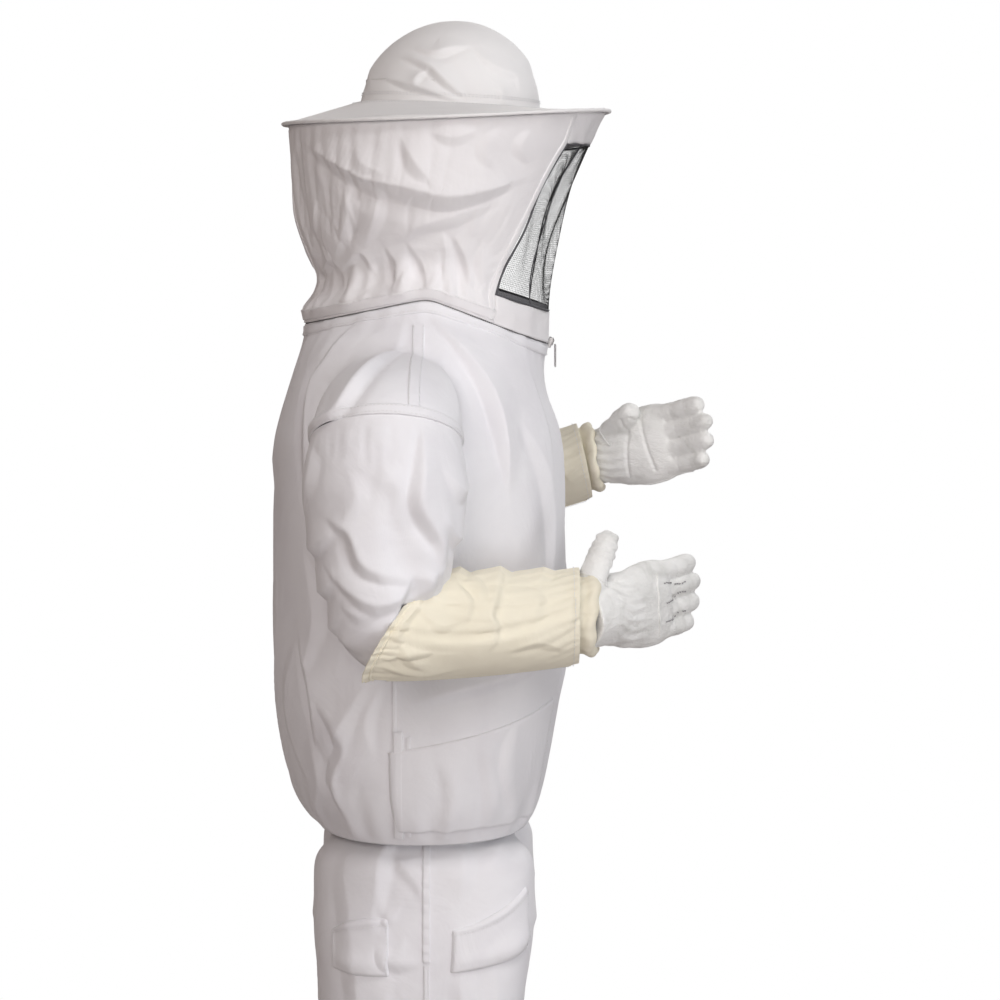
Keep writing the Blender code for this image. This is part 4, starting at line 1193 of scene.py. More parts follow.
# ---------------------------------------------------------------- smock
# height at the front, back and sides, then back, front and half width of the section
TORSO_RINGS = (
    (0.856, 0.856, 0.856, -0.125, 0.12, 0.182),
    (0.88, 0.88, 0.88, -0.144, 0.131, 0.2),
    (0.912, 0.912, 0.912, -0.16, 0.14, 0.212),
    (0.965, 0.965, 0.965, -0.169, 0.15, 0.219),
    (1.04, 1.04, 1.04, -0.175, 0.161, 0.223),
    (1.14, 1.14, 1.14, -0.177, 0.163, 0.223),
    (1.28, 1.28, 1.28, -0.175, 0.157, 0.214),
    (1.325, 1.325, 1.325, -0.168, 0.149, 0.208),
    (1.352, 1.36, 1.362, -0.158, 0.14, 0.202),
    (1.372, 1.388, 1.4, -0.149, 0.137, 0.188),
    (1.386, 1.405, 1.428, -0.143, 0.136, 0.168),
)
CAP_RINGS = (
    ((-0.03, -0.08, 1.352), (0.0, -1.0, -0.1), 0.06, 0.04),
    ((-0.03, -0.155, 1.352), (0.0, -1.0, -0.2), 0.066, 0.052),
    ((-0.032, -0.235, 1.338), (0.0, -0.9, -0.43), 0.078, 0.068),
    ((-0.035, -0.298, 1.314), (0.0, -0.42, -0.907), 0.081, 0.08),
)
SMOCK_VOXEL = 0.0066
SEAM_X, SHOULDER_X = -0.026, -0.004
# the smock's side seam and its vent: name, X, first and last height, width and thickness
SIDE_TAPES = (
    ("side_seam", SEAM_X - 0.004, 1.175, 0.99, 0.0045, 0.0008),
    ("side_vent", SEAM_X, 0.99, 0.866, 0.011, 0.0022),
    ("side_vent_inner", SEAM_X + 0.011, 0.984, 0.868, 0.005, 0.0014),
)
SMOCK_CREASES = (
    (
        "right",
        ((0.012, 1.44), (0.05, 1.4), (0.074, 1.362), (0.086, 1.325), (0.092, 1.29), (0.096, 1.25)),
        0.0085, 0.019,
    ),
    ("right", ((0.022, 1.407), (0.033, 1.369), (0.043, 1.325)), 0.008, 0.008),
    ("right", ((-0.022, 1.428), (-0.05, 1.394), (-0.084, 1.35), (-0.114, 1.312)), 0.008, 0.015),
    (
        "right",
        ((-0.065, 1.445), (-0.105, 1.395), (-0.122, 1.365), (-0.128, 1.296), (-0.126, 1.22)),
        0.01, 0.013,
    ),
    ("right", ((0.12, 1.38), (0.136, 1.32), (0.14, 1.24)), 0.013, 0.006),
    ("right", ((-0.114, 1.018), (-0.086, 0.973), (-0.097, 0.929), (-0.086, 0.89)), 0.009, 0.013),
    ("right", ((-0.136, 1.085), (-0.123, 1.029), (-0.116, 0.968)), 0.008, 0.011),
    ("right", ((0.064, 0.975), (0.075, 0.925), (0.069, 0.874)), 0.008, 0.01),
    ("right", ((0.103, 0.996), (0.091, 0.94), (0.099, 0.89)), 0.008, 0.0095),
    ("right", ((0.02, 0.96), (0.034, 0.915), (0.024, 0.876)), 0.0075, 0.0085),
    ("right", ((-0.132, 1.18), (-0.12, 1.11), (-0.134, 1.04)), 0.012, 0.007),
    ("right", ((-0.06, 1.045), (-0.09, 0.99), (-0.103, 0.945), (-0.09, 0.9)), 0.011, 0.008),
    ("right", ((-0.125, 0.975), (-0.115, 0.93), (-0.12, 0.89)), 0.01, 0.007),
    ("right", ((-0.045, 1.04), (-0.062, 1.0), (-0.054, 0.96)), 0.008, 0.005),
    ("right", ((-0.01, 1.02), (0.04, 1.036), (0.09, 1.046), (0.14, 1.058)), 0.008, 0.012),
    ("right", ((0.1, 1.13), (0.112, 1.07), (0.108, 1.01)), 0.011, 0.005),
    ("left", ((0.02, 1.405), (0.04, 1.372), (0.07, 1.34), (0.085, 1.28)), 0.011, 0.01),
    ("left", ((-0.09, 1.4), (-0.12, 1.35), (-0.124, 1.27)), 0.011, 0.008),
    ("left", ((0.06, 1.2), (0.02, 1.13), (0.05, 1.06), (0.03, 1.0)), 0.013, 0.008),
    ("left", ((-0.1, 1.15), (-0.07, 1.08), (-0.1, 1.0)), 0.012, 0.008),
    ("left", ((-0.04, 1.03), (-0.07, 0.975), (-0.06, 0.905)), 0.01, 0.007),
    (
        "back",
        ((-0.15, 1.33), (-0.08, 1.29), (0.0, 1.275), (0.08, 1.292), (0.15, 1.335)),
        0.02, 0.0045,
    ),
    ("back", ((-0.08, 1.2), (-0.1, 1.1), (-0.07, 0.99), (-0.09, 0.9)), 0.015, 0.009),
    ("back", ((0.07, 1.23), (0.09, 1.12), (0.06, 1.01), (0.085, 0.905)), 0.015, 0.009),
    ("back", ((0.0, 1.16), (0.012, 1.06), (-0.01, 0.92)), 0.013, 0.007),
    ("back", ((-0.15, 1.08), (-0.12, 1.0), (-0.15, 0.92)), 0.012, 0.007),
    ("front", ((-0.15, 1.33), (-0.11, 1.24), (-0.12, 1.12)), 0.014, 0.009),
    ("front", ((0.14, 1.33), (0.1, 1.25), (0.125, 1.13)), 0.014, 0.009),
    ("front", ((-0.04, 1.36), (-0.02, 1.28), (-0.05, 1.18)), 0.012, 0.006),
    ("front", ((0.06, 1.18), (0.02, 1.1), (0.06, 1.01)), 0.014, 0.008),
    ("front", ((-0.07, 1.12), (-0.03, 1.06), (-0.06, 1.0)), 0.012, 0.007),
)


def torso_rings(sides):
    angle = turns(sides)
    rings = []
    for front_h, back_h, side_h, back, front, half in TORSO_RINGS:
        x, y = oval(angle, back, front, half)
        ends = np.where(np.cos(angle) > 0, front_h, back_h)
        height = ends + (side_h - ends) * np.sin(angle) ** 2
        rings.append(level(x, y, height))
    rings.append(neck_points(angle, 0.0015, -0.0105))
    return np.array(rings)


def flip(vector, sign):
    return (vector[0], -sign * vector[1], vector[2])


def seam_frame(sign):
    """The middle, direction and half sizes of the dropped shoulder seam."""
    centre, axis, radius_x, radius_across = CAP_RINGS[-1]
    centre = np.array(flip(centre, sign)) - np.array((0, 0, NECK_HEIGHT))
    return centre, unit(flip(axis, sign)), radius_x, radius_across


def cap_tube(sign):
    centres = [np.array(flip(c, sign)) - np.array((0, 0, NECK_HEIGHT)) for c, _, _, _ in CAP_RINGS]
    axis = seam_frame(sign)[1]
    centres.append(centres[-1] + axis * 0.03)
    radii = [(rx, ra) for _, _, rx, ra in CAP_RINGS] + [CAP_RINGS[-1][2:]]
    return rings_on_path(centres, radii, (1, 0, 0), 36, 72)


def seam_ring(sign, count, grow=0.0, along=0.0):
    """The dropped seam as a ring, the same from the smock's and the sleeve's side."""
    centre, axis, radius_x, radius_across = seam_frame(sign)
    v = np.array((1.0, 0, 0)) - axis * axis[0]
    v = unit(v)
    u = np.cross(v, axis)
    a = turns(count)
    ring = np.outer(np.sin(a) * (radius_x + grow), v) + np.outer(np.cos(a) * (radius_across + grow), u)
    return centre + axis * along + ring


def boundary_points(obj):
    bm = bmesh.new()
    bm.from_mesh(obj.data)
    found = np.array(sorted(v.index for v in bm.verts if any(e.is_boundary for e in v.link_edges)))
    bm.free()
    return found


def nearest_on(ring, points):
    """The nearest points of a finely divided ring."""
    distance = np.linalg.norm(points[:, None] - ring[None], axis=2)
    return ring[distance.argmin(axis=1)], distance.min(axis=1)


def cut_away(obj, beyond):
    """Removes the faces all of whose corners are beyond an edge of the cloth."""
    points = coords(obj)
    gone = beyond(points)
    bm = bmesh.new()
    bm.from_mesh(obj.data)
    bm.verts.ensure_lookup_table()
    doomed = [f for f in bm.faces if all(gone[v.index] for v in f.verts)]
    bmesh.ops.delete(bm, geom=doomed, context="FACES")
    loose = [v for v in bm.verts if not v.link_faces]
    bmesh.ops.delete(bm, geom=loose, context="VERTS")
    bm.to_mesh(obj.data)
    bm.free()


def relax(obj, fixed, repeat, share=0.5):
    """Evens out the cloth's points, apart from the fixed ones."""
    edges = np.array([tuple(e.vertices) for e in obj.data.edges])
    points = coords(obj)
    count = np.bincount(edges.ravel(), minlength=len(points)).astype(float)[:, None]
    free = np.ones(len(points), bool)
    free[fixed] = False
    for _ in range(repeat):
        total = np.zeros_like(points)
        np.add.at(total, edges[:, 0], points[edges[:, 1]])
        np.add.at(total, edges[:, 1], points[edges[:, 0]])
        points[free] += share * (total / count - points)[free]
    set_coords(obj, points)


def hem_points(count):
    angle = turns(count)
    back, front, half = TORSO_RINGS[0][3:]
    x, y = oval(angle, back, front, half)
    return level(x, y, TORSO_RINGS[0][0])


def start_smock():
    rings = torso_rings(132)
    body = smooth(rings, 110)
    below = body[0].copy()
    below[:, 2] -= 0.03
    above = body[-1].copy()
    above[:, 2] += 0.035
    solid = closed_tube("torso_solid", np.concatenate([below[None], body, above[None]]))
    caps = [closed_tube(f"cap_solid_{name}", cap_tube(sign)) for name, sign in SIDES]
    smock = join("smock_cloth", [solid, *caps])
    remesh(smock, SMOCK_VOXEL)
    neck = neck_points(turns(720), FLAP_OUT, -FLAP_EDGE)
    hem = hem_points(720)
    seams = {sign: seam_ring(sign, 480) for _, sign in SIDES}

    def beyond(points):
        angle = np.arctan2(points[:, 1], points[:, 0] - ZIP_CENTRE_X)
        limit = neck_points(angle, 0.0, -0.0045)[:, 2]
        inside = np.hypot(points[:, 0] - ZIP_CENTRE_X, points[:, 1]) < ZIP_RADIUS + 0.012
        gone = (points[:, 2] > limit) & inside | (points[:, 2] < up(TORSO_RINGS[0][0]) + 0.002)
        for _, sign in SIDES:
            centre, axis, _, _ = seam_frame(sign)
            near = np.linalg.norm(points - centre, axis=1) < 0.13
            gone |= ((points - centre) @ axis > -0.002) & near & (np.abs(points[:, 1]) > 0.17)
        return gone

    cut_away(smock, beyond)
    face_out(smock)
    edge = boundary_points(smock)
    points = coords(smock)
    rings_list = [neck, hem, *seams.values()]
    choices = [nearest_on(ring, points[edge]) for ring in rings_list]
    best = np.array([c[1] for c in choices]).argmin(axis=0)
    for k, (places, _) in enumerate(choices):
        points[edge[best == k]] = places[best == k]
    set_coords(smock, points)
    relax(smock, edge, 14)
    start = coords(smock)
    centre = np.array((0.0, 0.0, up(1.15)))
    height = start[:, 2] - up(TORSO_RINGS[0][0])
    around = 1.035 + 0.05 * np.exp(-((height / 0.06) ** 2))
    cut = centre + (start - centre) * np.stack([around, around, np.full(len(start), 1.03)], axis=-1)
    hold = np.full(len(start), 0.02)
    hold[edge] = 1.0
    hang(smock, hold, cut, 0.012, bending=0.8)
    return smock


def finish_smock(smock):
    subdivide(smock)
    fold_all(smock, SMOCK_CREASES)
    points, n = coords(smock), normals(smock)
    angle = np.arctan2(points[:, 1], points[:, 0])
    rise = points[:, 2] - up(TORSO_RINGS[0][0])
    drawn = np.exp(-(((rise - 0.02) / 0.035) ** 2)) * np.clip(rise / 0.01, 0, 1)
    neck_gap = up(1.47) - points[:, 2] - 0.03 * np.abs(np.cos(angle))
    neck_drawn = 0.35 * np.exp(-(((neck_gap - 0.02) / 0.03) ** 2)) * (np.abs(points[:, 1]) < 0.16)
    set_coords(
        smock,
        points + n * (gathers(angle, 2.2, (19, 29, 43)) * 0.004 * (drawn + neck_drawn))[:, None],
    )
    surface = surface_of(smock)
    trim, thread = [], []
    for name, sign in SIDES:
        shoulder = np.linspace(0.162, 0.362, 14)
        top = on_surface(surface, "top", [(SHOULDER_X, sign * y) for y in shoulder])
        trim.append(tape("shoulder_seam", surface, top, 0.014, 0.0009))
        for seam, x, first, last, width, height in SIDE_TAPES:
            line = on_surface(surface, name, [(x, h) for h in np.linspace(first, last, 12)])
            trim.append(tape(seam, surface, line, width, height))
        band = closed_line(seam_ring(sign, 90, 0.001, -0.006))
        trim.append(tape("dropped_seam", surface, band, 0.013, 0.0016))
        for inward in (-0.0025, -0.01):
            row = seam_ring(sign, 90, 0.001, inward)
            thread.append(stitches("dropped_seam_stitches", surface, row, lift=0.0018))
        for shift in (-0.0052, 0.0052):
            line = on_surface(surface, "top", [(SHOULDER_X + shift, sign * y) for y in shoulder])
            thread.append(stitches("shoulder_stitches", surface, line, lift=0.0016))
    neck_line = closed_line(neck_points(turns(120), FLAP_OUT, -FLAP_EDGE - 0.008))
    trim.append(tape("neck_facing", surface, neck_line, 0.012, 0.0014))
    neck_row = neck_points(turns(120), FLAP_OUT, -FLAP_EDGE - 0.012)
    thread.append(stitches("neck_stitches", surface, neck_row, lift=0.0018))
    seams = join("smock_seams", trim)
    stitching = join("smock_stitching", thread)
    for name, sign in SIDES:
        smock_pocket(surface, name, sign)
    thicken(smock, 0.0012)
    finish(smock, "cotton", "smock", ["smock_front", "smock_back"])
    finish(seams, "cotton", "smock")
    finish(stitching, "cotton", "smock", look="white_thread")
    angle = turns(200)
    rows = []
    for height in np.linspace(0.0, 0.02, 8):
        back, front, half = TORSO_RINGS[0][3:]
        x, y = oval(angle, back + 0.004, front - 0.004, half - 0.004)
        ripple = 1 + 0.012 * gathers(angle, 0.7, (40, 61, 83))
        rows.append(level(x * ripple, y * ripple, 0.8562 + height))
    hem = grid_object("hem_band", np.array(rows), closed=True)
    thicken(hem, 0.0016, 0.0)
    finish(hem, "cotton", "smock", ["hem_elastic"])


def torso_outside(angle, height):
    """Points outside the smock's lower body, for laying things on it."""
    table = np.array(TORSO_RINGS[:8])
    back, front, half = (np.interp(height, table[:, 0], table[:, k]) for k in (3, 4, 5))
    x, y = oval(angle, back, front, half)
    return level(x, y, height)


def smock_pocket(surface, name, sign):
    """A wide patch pocket from the side vent to the front, its mouth rising to the front."""
    angle = np.radians(np.linspace(98, 22, 46))
    mouth = np.interp(angle, np.radians((22, 60, 98)), (1.012, 0.99, 0.968))
    rows = []
    for share in np.linspace(0.0, 1.0, 40):
        height = 0.872 + (mouth - 0.872) * share
        points = torso_outside(angle, height)
        points[:, 1] *= sign
        rows.append(points)
    grid = np.array(rows)
    pocket = patch(f"smock_pocket_{name}_cloth", surface, grid, 0.0022)
    face_away(pocket, np.array((0, 0, up(0.93))))
    top = surface_of(pocket)
    side_row = np.concatenate([grid[-3, :1], grid[1:-1, 1]])
    rows = (grid[-2], side_row, grid[1:-1, -2])
    thread = [stitches("pocket_stitches", top, row, lift=0.0004) for row in rows]
    thicken(pocket, 0.0008, -1.0)
    stitching = join(f"pocket_stitching_{name}", thread)
    finish(pocket, "cotton", "smock", [f"smock_pocket_{name}"])
    finish(stitching, "cotton", "smock", look="white_thread")


# ---------------------------------------------------------------- sleeves
# Each arm: the sleeve's path down from its seam with its radii, then the elbow and the wrist.
ARMS = {
    "right": {
        "elbow": (-0.034, -0.342, 1.122),
        "wrist": (0.193, -0.222, 1.12),
        "sleeve": (
            ((-0.0355, -0.309, 1.286), 0.086),
            ((-0.036, -0.318, 1.25), 0.087),
            ((-0.036, -0.329, 1.204), 0.077),
            ((-0.033, -0.338, 1.16), 0.067),
            ((-0.026, -0.34, 1.13), 0.06),
            ((0.0, -0.326, 1.1215), 0.049),
            ((0.034, -0.306, 1.1214), 0.045),
        ),
        "bend": ((-0.036, -0.329, 1.2), (0.0208, -0.313, 1.1215)),
        "mouth": 0.024,
        "girth": 1.0,
        "hand_yaw": 46.0,
        "hand_rise": 4.0,
        "thumb": (0.6, 0.1, 0.78),
        "thumb_root": (-0.024, 0.0, 0.026),
    },
    "left": {
        "elbow": (-0.01, 0.352, 1.2),
        "wrist": (0.212, 0.237, 1.262),
        "sleeve": (
            ((-0.0345, 0.307, 1.292), 0.083),
            ((-0.031, 0.322, 1.268), 0.08),
            ((-0.024, 0.338, 1.237), 0.069),
            ((-0.01, 0.346, 1.212), 0.06),
            ((0.016, 0.338, 1.207), 0.053),
            ((0.046, 0.322, 1.216), 0.047),
        ),
        "bend": ((-0.026, 0.326, 1.25), (0.034, 0.335, 1.18)),
        "mouth": 0.07,
        "girth": 0.9,
        "hand_yaw": -39.0,
        "hand_rise": 13.0,
        "thumb": (0.86, 0.3, 0.38),
        "thumb_root": (0.006, -0.006, 0.016),
    },
}
SLEEVE_FORE = ((0.12, 0.043), (0.18, 0.039), (0.232, 0.034))  # along the forearm, and radius
SLEEVE_CREASES = {
    "right": (
        (
            "right",
            ((0.006, 1.334), (0.005, 1.29), (0.004, 1.254), (0.023, 1.215), (0.025, 1.187)),
            0.008, 0.016,
        ),
        (
            "right",
            (
                (-0.092, 1.24), (-0.08, 1.233), (-0.067, 1.224), (-0.056, 1.196),
                (-0.037, 1.184), (-0.005, 1.174),
            ),
            0.0085, 0.013,
        ),
        (
            "right",
            (
                (-0.092, 1.186), (-0.078, 1.172), (-0.051, 1.155), (-0.032, 1.153),
                (0.013, 1.169), (0.023, 1.178),
            ),
            0.008, 0.012,
        ),
        ("right", ((-0.092, 1.13), (-0.084, 1.115), (-0.07, 1.105), (-0.039, 1.104)), 0.0055, 0.0075),
        ("right", ((-0.08, 1.15), (-0.06, 1.14), (-0.034, 1.143)), 0.006, 0.006),
        ("right", ((-0.07, 1.29), (-0.062, 1.262), (-0.075, 1.24)), 0.01, 0.005),
        ("right", ((-0.048, 1.31), (-0.02, 1.27), (-0.03, 1.235)), 0.012, 0.0045),
        ("right", ((-0.062, 1.088), (-0.04, 1.082), (-0.014, 1.092)), 0.006, 0.006),
        ("back", ((-0.39, 1.23), (-0.35, 1.205), (-0.3, 1.215)), 0.008, 0.01),
        ("back", ((-0.385, 1.18), (-0.345, 1.16), (-0.3, 1.175)), 0.008, 0.01),
        ("back", ((-0.38, 1.138), (-0.345, 1.122), (-0.305, 1.132)), 0.007, 0.008),
        ("back", ((-0.34, 1.31), (-0.35, 1.28), (-0.335, 1.25)), 0.011, 0.006),
        ("front", ((-0.38, 1.24), (-0.34, 1.215), (-0.29, 1.225)), 0.008, 0.01),
        ("front", ((-0.37, 1.29), (-0.345, 1.265), (-0.31, 1.27)), 0.009, 0.007),
    ),
    "left": (
        ("left", ((0.01, 1.345), (0.012, 1.3), (0.03, 1.262)), 0.0085, 0.01),
        ("left", ((-0.1, 1.27), (-0.06, 1.258), (-0.01, 1.238), (0.04, 1.246)), 0.008, 0.012),
        ("left", ((-0.09, 1.24), (-0.045, 1.22), (0.0, 1.214)), 0.007, 0.01),
        ("left", ((-0.06, 1.205), (-0.03, 1.192), (0.01, 1.196)), 0.0065, 0.007),
        ("left", ((-0.06, 1.32), (-0.05, 1.29), (-0.066, 1.265)), 0.011, 0.006),
        ("back", ((0.3, 1.272), (0.345, 1.25), (0.39, 1.262)), 0.008, 0.01),
        ("back", ((0.31, 1.232), (0.345, 1.215), (0.385, 1.225)), 0.007, 0.008),
        ("front", ((0.31, 1.272), (0.345, 1.25), (0.385, 1.262)), 0.008, 0.009),
    ),
}


def arm_point(arm, along):
    elbow, axis = forearm(arm)
    return elbow + axis * along


def forearm(arm):
    elbow = np.array(arm["elbow"]) - np.array((0, 0, NECK_HEIGHT))
    wrist = np.array(arm["wrist"]) - np.array((0, 0, NECK_HEIGHT))
    return elbow, unit(wrist - elbow)


def forearm_frame(arm):
    """Along the forearm, upwards from it and across it."""
    _, axis = forearm(arm)
    top = unit(np.array((0, 0, 1.0)) - axis * axis[2])
    return axis, top, np.cross(axis, top)


def start_sleeve(name, sign):
    arm = ARMS[name]
    path = [tuple(seam_frame(sign)[0])] + [(x, y, up(z)) for (x, y, z), _ in arm["sleeve"]]
    radii = [(0.081, 0.08)] + [(r, r) for _, r in arm["sleeve"]]
    for along, radius in SLEEVE_FORE:
        path.append(tuple(arm_point(arm, along)))
        radii.append((radius * arm["girth"],) * 2)
    rings = rings_on_path(path, radii, (1.0, 0.0, 0.25), 96, 88)
    join_ring = seam_ring(sign, 88)
    shift = int(np.linalg.norm(rings[0][0] - join_ring, axis=1).argmin())
    turned = (np.roll(join_ring, -shift, axis=0), np.roll(join_ring[::-1], shift + 1, axis=0))
    same = min(turned, key=lambda ring: np.linalg.norm(ring - rings[0]))
    for k in range(9):
        share = (1 - k / 9) ** 2
        moved = same + (rings[k].mean(axis=0) - rings[0].mean(axis=0))
        rings[k] = rings[k] * (1 - share) + moved * share
    rings[0] = same
    sleeve = grid_object(f"sleeve_{name}_cloth", rings, closed=True)
    face_out(sleeve)
    start = coords(sleeve)
    flat = start.reshape(96, 88, 3)
    centre = flat.mean(axis=1, keepdims=True)
    t = np.linspace(0, 1, 96)
    slack = 1.03 + 0.05 * np.exp(-(((t - 0.52) / 0.18) ** 2))
    cut = centre * np.array((1.05, 1.05, 1.09)) + (flat - centre) * slack[:, None, None]
    cut = cut + (centre[0] - centre[0] * np.array((1.05, 1.05, 1.09)))
    hold = np.full((96, 88), 0.03)
    hold[:2] = hold[-2:] = 1.0
    hold[72:] = np.maximum(hold[72:], 0.3)
    hang(sleeve, hold.ravel(), cut.reshape(-1, 3), 0.011, bending=0.7)
    return sleeve


SLEEVE_REACH = 0.08  # how far above the elbow the gauntlet can still cover the sleeve
SLEEVE_LOOSE = 0.066  # cloth further than this from the forearm's middle hangs free of the gauntlet


def tuck_into_gauntlet(sleeve, arm):
    """Keeps the sleeve inside the gauntlet, where the gauntlet covers it."""
    elbow, _ = forearm(arm)
    axis, top, across = forearm_frame(arm)
    points = coords(sleeve)
    local = points - elbow
    along, high, wide = local @ axis, local @ top, local @ across
    radius = np.hypot(high, wide)
    angle = np.arctan2(wide, high)
    mouth = gauntlet_along(arm, angle, 0.0, radius)
    covered = np.clip((along - mouth + 0.012) / 0.012, 0, 1)
    limit = 0.0475 * arm["girth"] + 0.06 * (1 - covered) ** 2
    covers = (covered > 0) & (along > -0.03) & (points[:, 2] < elbow[2] + SLEEVE_REACH)
    loose = np.clip((radius - SLEEVE_LOOSE) / 0.016, 0, 1)
    shrink = np.where(covers, np.minimum(1.0, limit / radius), 1.0)
    shrink = shrink * (1 - loose) + loose
    inside = np.outer(high * shrink, top) + np.outer(wide * shrink, across) + np.outer(along, axis)
    set_coords(sleeve, elbow + inside)


def finish_sleeve(sleeve, name, sign):
    arm = ARMS[name]
    subdivide(sleeve)
    fold_all(sleeve, SLEEVE_CREASES[name])
    tuck_into_gauntlet(sleeve, arm)
    surface = surface_of(sleeve)
    inner = []
    for (x, y, z), radius in arm["sleeve"][:4]:
        inner.append((x - radius * 0.2, y - sign * radius, up(z)))
    for along, radius in ((0.06, 0.045), (0.12, 0.043), (0.2, 0.037)):
        inner.append(arm_point(arm, along) - np.array((0, 0, radius)))
    seam = tape(f"sleeve_{name}_seam", surface, inner, 0.005, 0.0009)
    thicken(sleeve, 0.0012)
    finish(sleeve, "cotton", None, [f"sleeve_upper_{name}", f"sleeve_fore_{name}"])
    finish(seam, "cotton", None)
    for piece in (sleeve, seam):
        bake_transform(piece)
    cuff_rows = []
    _, top, across = forearm_frame(arm)
    a = turns(120)
    for along in np.linspace(0.214, 0.238, 9):
        ribs = 1 + 0.03 * np.sin(40 * a)
        radius = (0.03 - 0.06 * (along - 0.214)) * arm["girth"]
        ring = np.outer(np.cos(a) * radius * ribs, top) + np.outer(np.sin(a) * radius * ribs, across)
        cuff_rows.append(arm_point(arm, along) + ring)
    cuff = grid_object(f"sleeve_{name}_knit", np.array(cuff_rows), closed=True)
    face_away(cuff, arm_point(arm, 0.238))
    thicken(cuff, 0.0014, 0.0)
    finish(cuff, "elastic", f"{name}_forearm", [f"sleeve_cuff_{name}"])


# ---------------------------------------------------------------- gloves
GAUNTLET = (
    (0.0, 0.0535), (0.06, 0.0565), (0.22, 0.0585), (0.48, 0.058), (0.76, 0.0555),
    (0.93, 0.0535), (1.0, 0.052),
)
# the frill past the gauntlet's cord: share of the gauntlet's length, radius, and ripple
GAUNTLET_LIP = (
    (0.012, 0.0546, 0.03), (0.002, 0.055, 0.04), (-0.016, 0.0562, 0.06), (-0.026, 0.0568, 0.07),
)
GAUNTLET_END = 0.233
GAUNTLET_SLANT = 0.04  # how much further from the elbow the mouth is on top
GAUNTLET_BOW = 0.016  # how far the mouth's outer side lies behind its top and bottom
GAUNTLET_CREASES = {
    "right": (
        (
            "right",
            ((0.084, 1.172), (0.083, 1.157), (0.075, 1.134), (0.081, 1.117), (0.074, 1.096)),
            0.006, 0.0095,
        ),
        ("right", ((0.04, 1.17), (0.043, 1.16), (0.053, 1.146), (0.049, 1.126)), 0.006, 0.0085),
        ("right", ((0.06, 1.172), (0.066, 1.158), (0.06, 1.14)), 0.0055, 0.006),
        ("right", ((0.008, 1.16), (-0.01, 1.146), (-0.02, 1.123), (-0.014, 1.112)), 0.005, 0.006),
        ("right", ((-0.034, 1.094), (-0.01, 1.099), (0.018, 1.098)), 0.005, 0.006),
        ("right", ((-0.02, 1.112), (-0.008, 1.092), (0.006, 1.08)), 0.005, 0.0055),
        ("right", ((-0.036, 1.086), (0.0, 1.074), (0.04, 1.076)), 0.006, 0.0055),
        ("right", ((0.118, 1.176), (0.128, 1.156), (0.12, 1.122)), 0.008, 0.006),
        ("right", ((0.004, 1.142), (0.024, 1.126), (0.044, 1.13)), 0.005, 0.005),
        ("right", ((0.096, 1.094), (0.126, 1.102), (0.156, 1.09)), 0.006, 0.005),
        ("right", ((0.15, 1.172), (0.162, 1.15), (0.158, 1.112)), 0.007, 0.005),
        ("top", ((0.04, -0.335), (0.044, -0.295), (0.036, -0.26)), 0.007, 0.01),
        ("top", ((0.082, -0.32), (0.086, -0.28), (0.09, -0.24)), 0.008, 0.011),
        ("top", ((0.126, -0.3), (0.132, -0.265), (0.14, -0.225)), 0.008, 0.009),
    ),
    "left": (
        ("right", ((0.112, 1.272), (0.126, 1.248), (0.146, 1.222)), 0.0055, 0.0085),
        ("right", ((0.136, 1.282), (0.156, 1.258), (0.17, 1.236)), 0.0055, 0.0085),
        ("right", ((0.104, 1.24), (0.122, 1.22), (0.13, 1.202)), 0.005, 0.007),
        ("right", ((0.128, 1.214), (0.146, 1.21), (0.16, 1.218)), 0.0045, 0.006),
        ("left", ((0.08, 1.272), (0.09, 1.245), (0.086, 1.215)), 0.006, 0.008),
        ("left", ((0.12, 1.282), (0.13, 1.255), (0.126, 1.225)), 0.006, 0.008),
        ("left", ((0.15, 1.29), (0.16, 1.262), (0.15, 1.236)), 0.006, 0.006),
    ),
}


def gauntlet_along(arm, angle, share, radius):
    """How far from the elbow a ring of the gauntlet lies, round its turn from the top outwards."""
    axis, _, across = forearm_frame(arm)
    near_mouth = np.maximum(0.0, 1 - 1.8 * np.asarray(share))
    along = arm["mouth"] + (GAUNTLET_END - arm["mouth"]) * share
    along = along + GAUNTLET_SLANT * near_mouth * np.cos(angle)
    if across[1] > 0:
        return along
    bow = GAUNTLET_BOW * near_mouth * np.maximum(0.0, np.sin(angle))
    return along - bow - radius * np.sin(angle) * across[0] / axis[0]


def gauntlet_ring(arm, share, radius, ripple=0.0, count=150):
    axis, top, across = forearm_frame(arm)
    a = turns(count)
    radius = radius * arm["girth"] * (1 + ripple * gathers(a, 3.0, (26, 37, 52)))
    ring = np.outer(np.cos(a) * radius, top) + np.outer(np.sin(a) * radius, across)
    along = gauntlet_along(arm, a, share, radius)
    return arm_point(arm, 0.0) + ring + np.outer(along, axis)


def start_gauntlet(name):
    arm = ARMS[name]
    profile = smooth(GAUNTLET, 58)
    rings = []
    for share, radius in profile:
        drawn = 0.045 * math.exp(-(((share - 0.02) / 0.07) ** 2))
        drawn += 0.02 * math.exp(-(((share - 0.97) / 0.06) ** 2))
        rings.append(gauntlet_ring(arm, share, radius, drawn))
    gauntlet = grid_object(f"gauntlet_{name}_cloth", np.array(rings), closed=True)
    face_out(gauntlet)
    flat = np.array(rings)
    centre = flat.mean(axis=1, keepdims=True)
    stretch = (centre - centre[0]) * 0.05
    cut = centre + stretch + (flat - centre) * 1.04
    hold = np.full(flat.shape[:2], 0.04)
    hold[:3] = hold[-3:] = 1.0
    hang(gauntlet, hold.ravel(), cut.reshape(-1, 3), 0.006, bending=0.9)
    return gauntlet


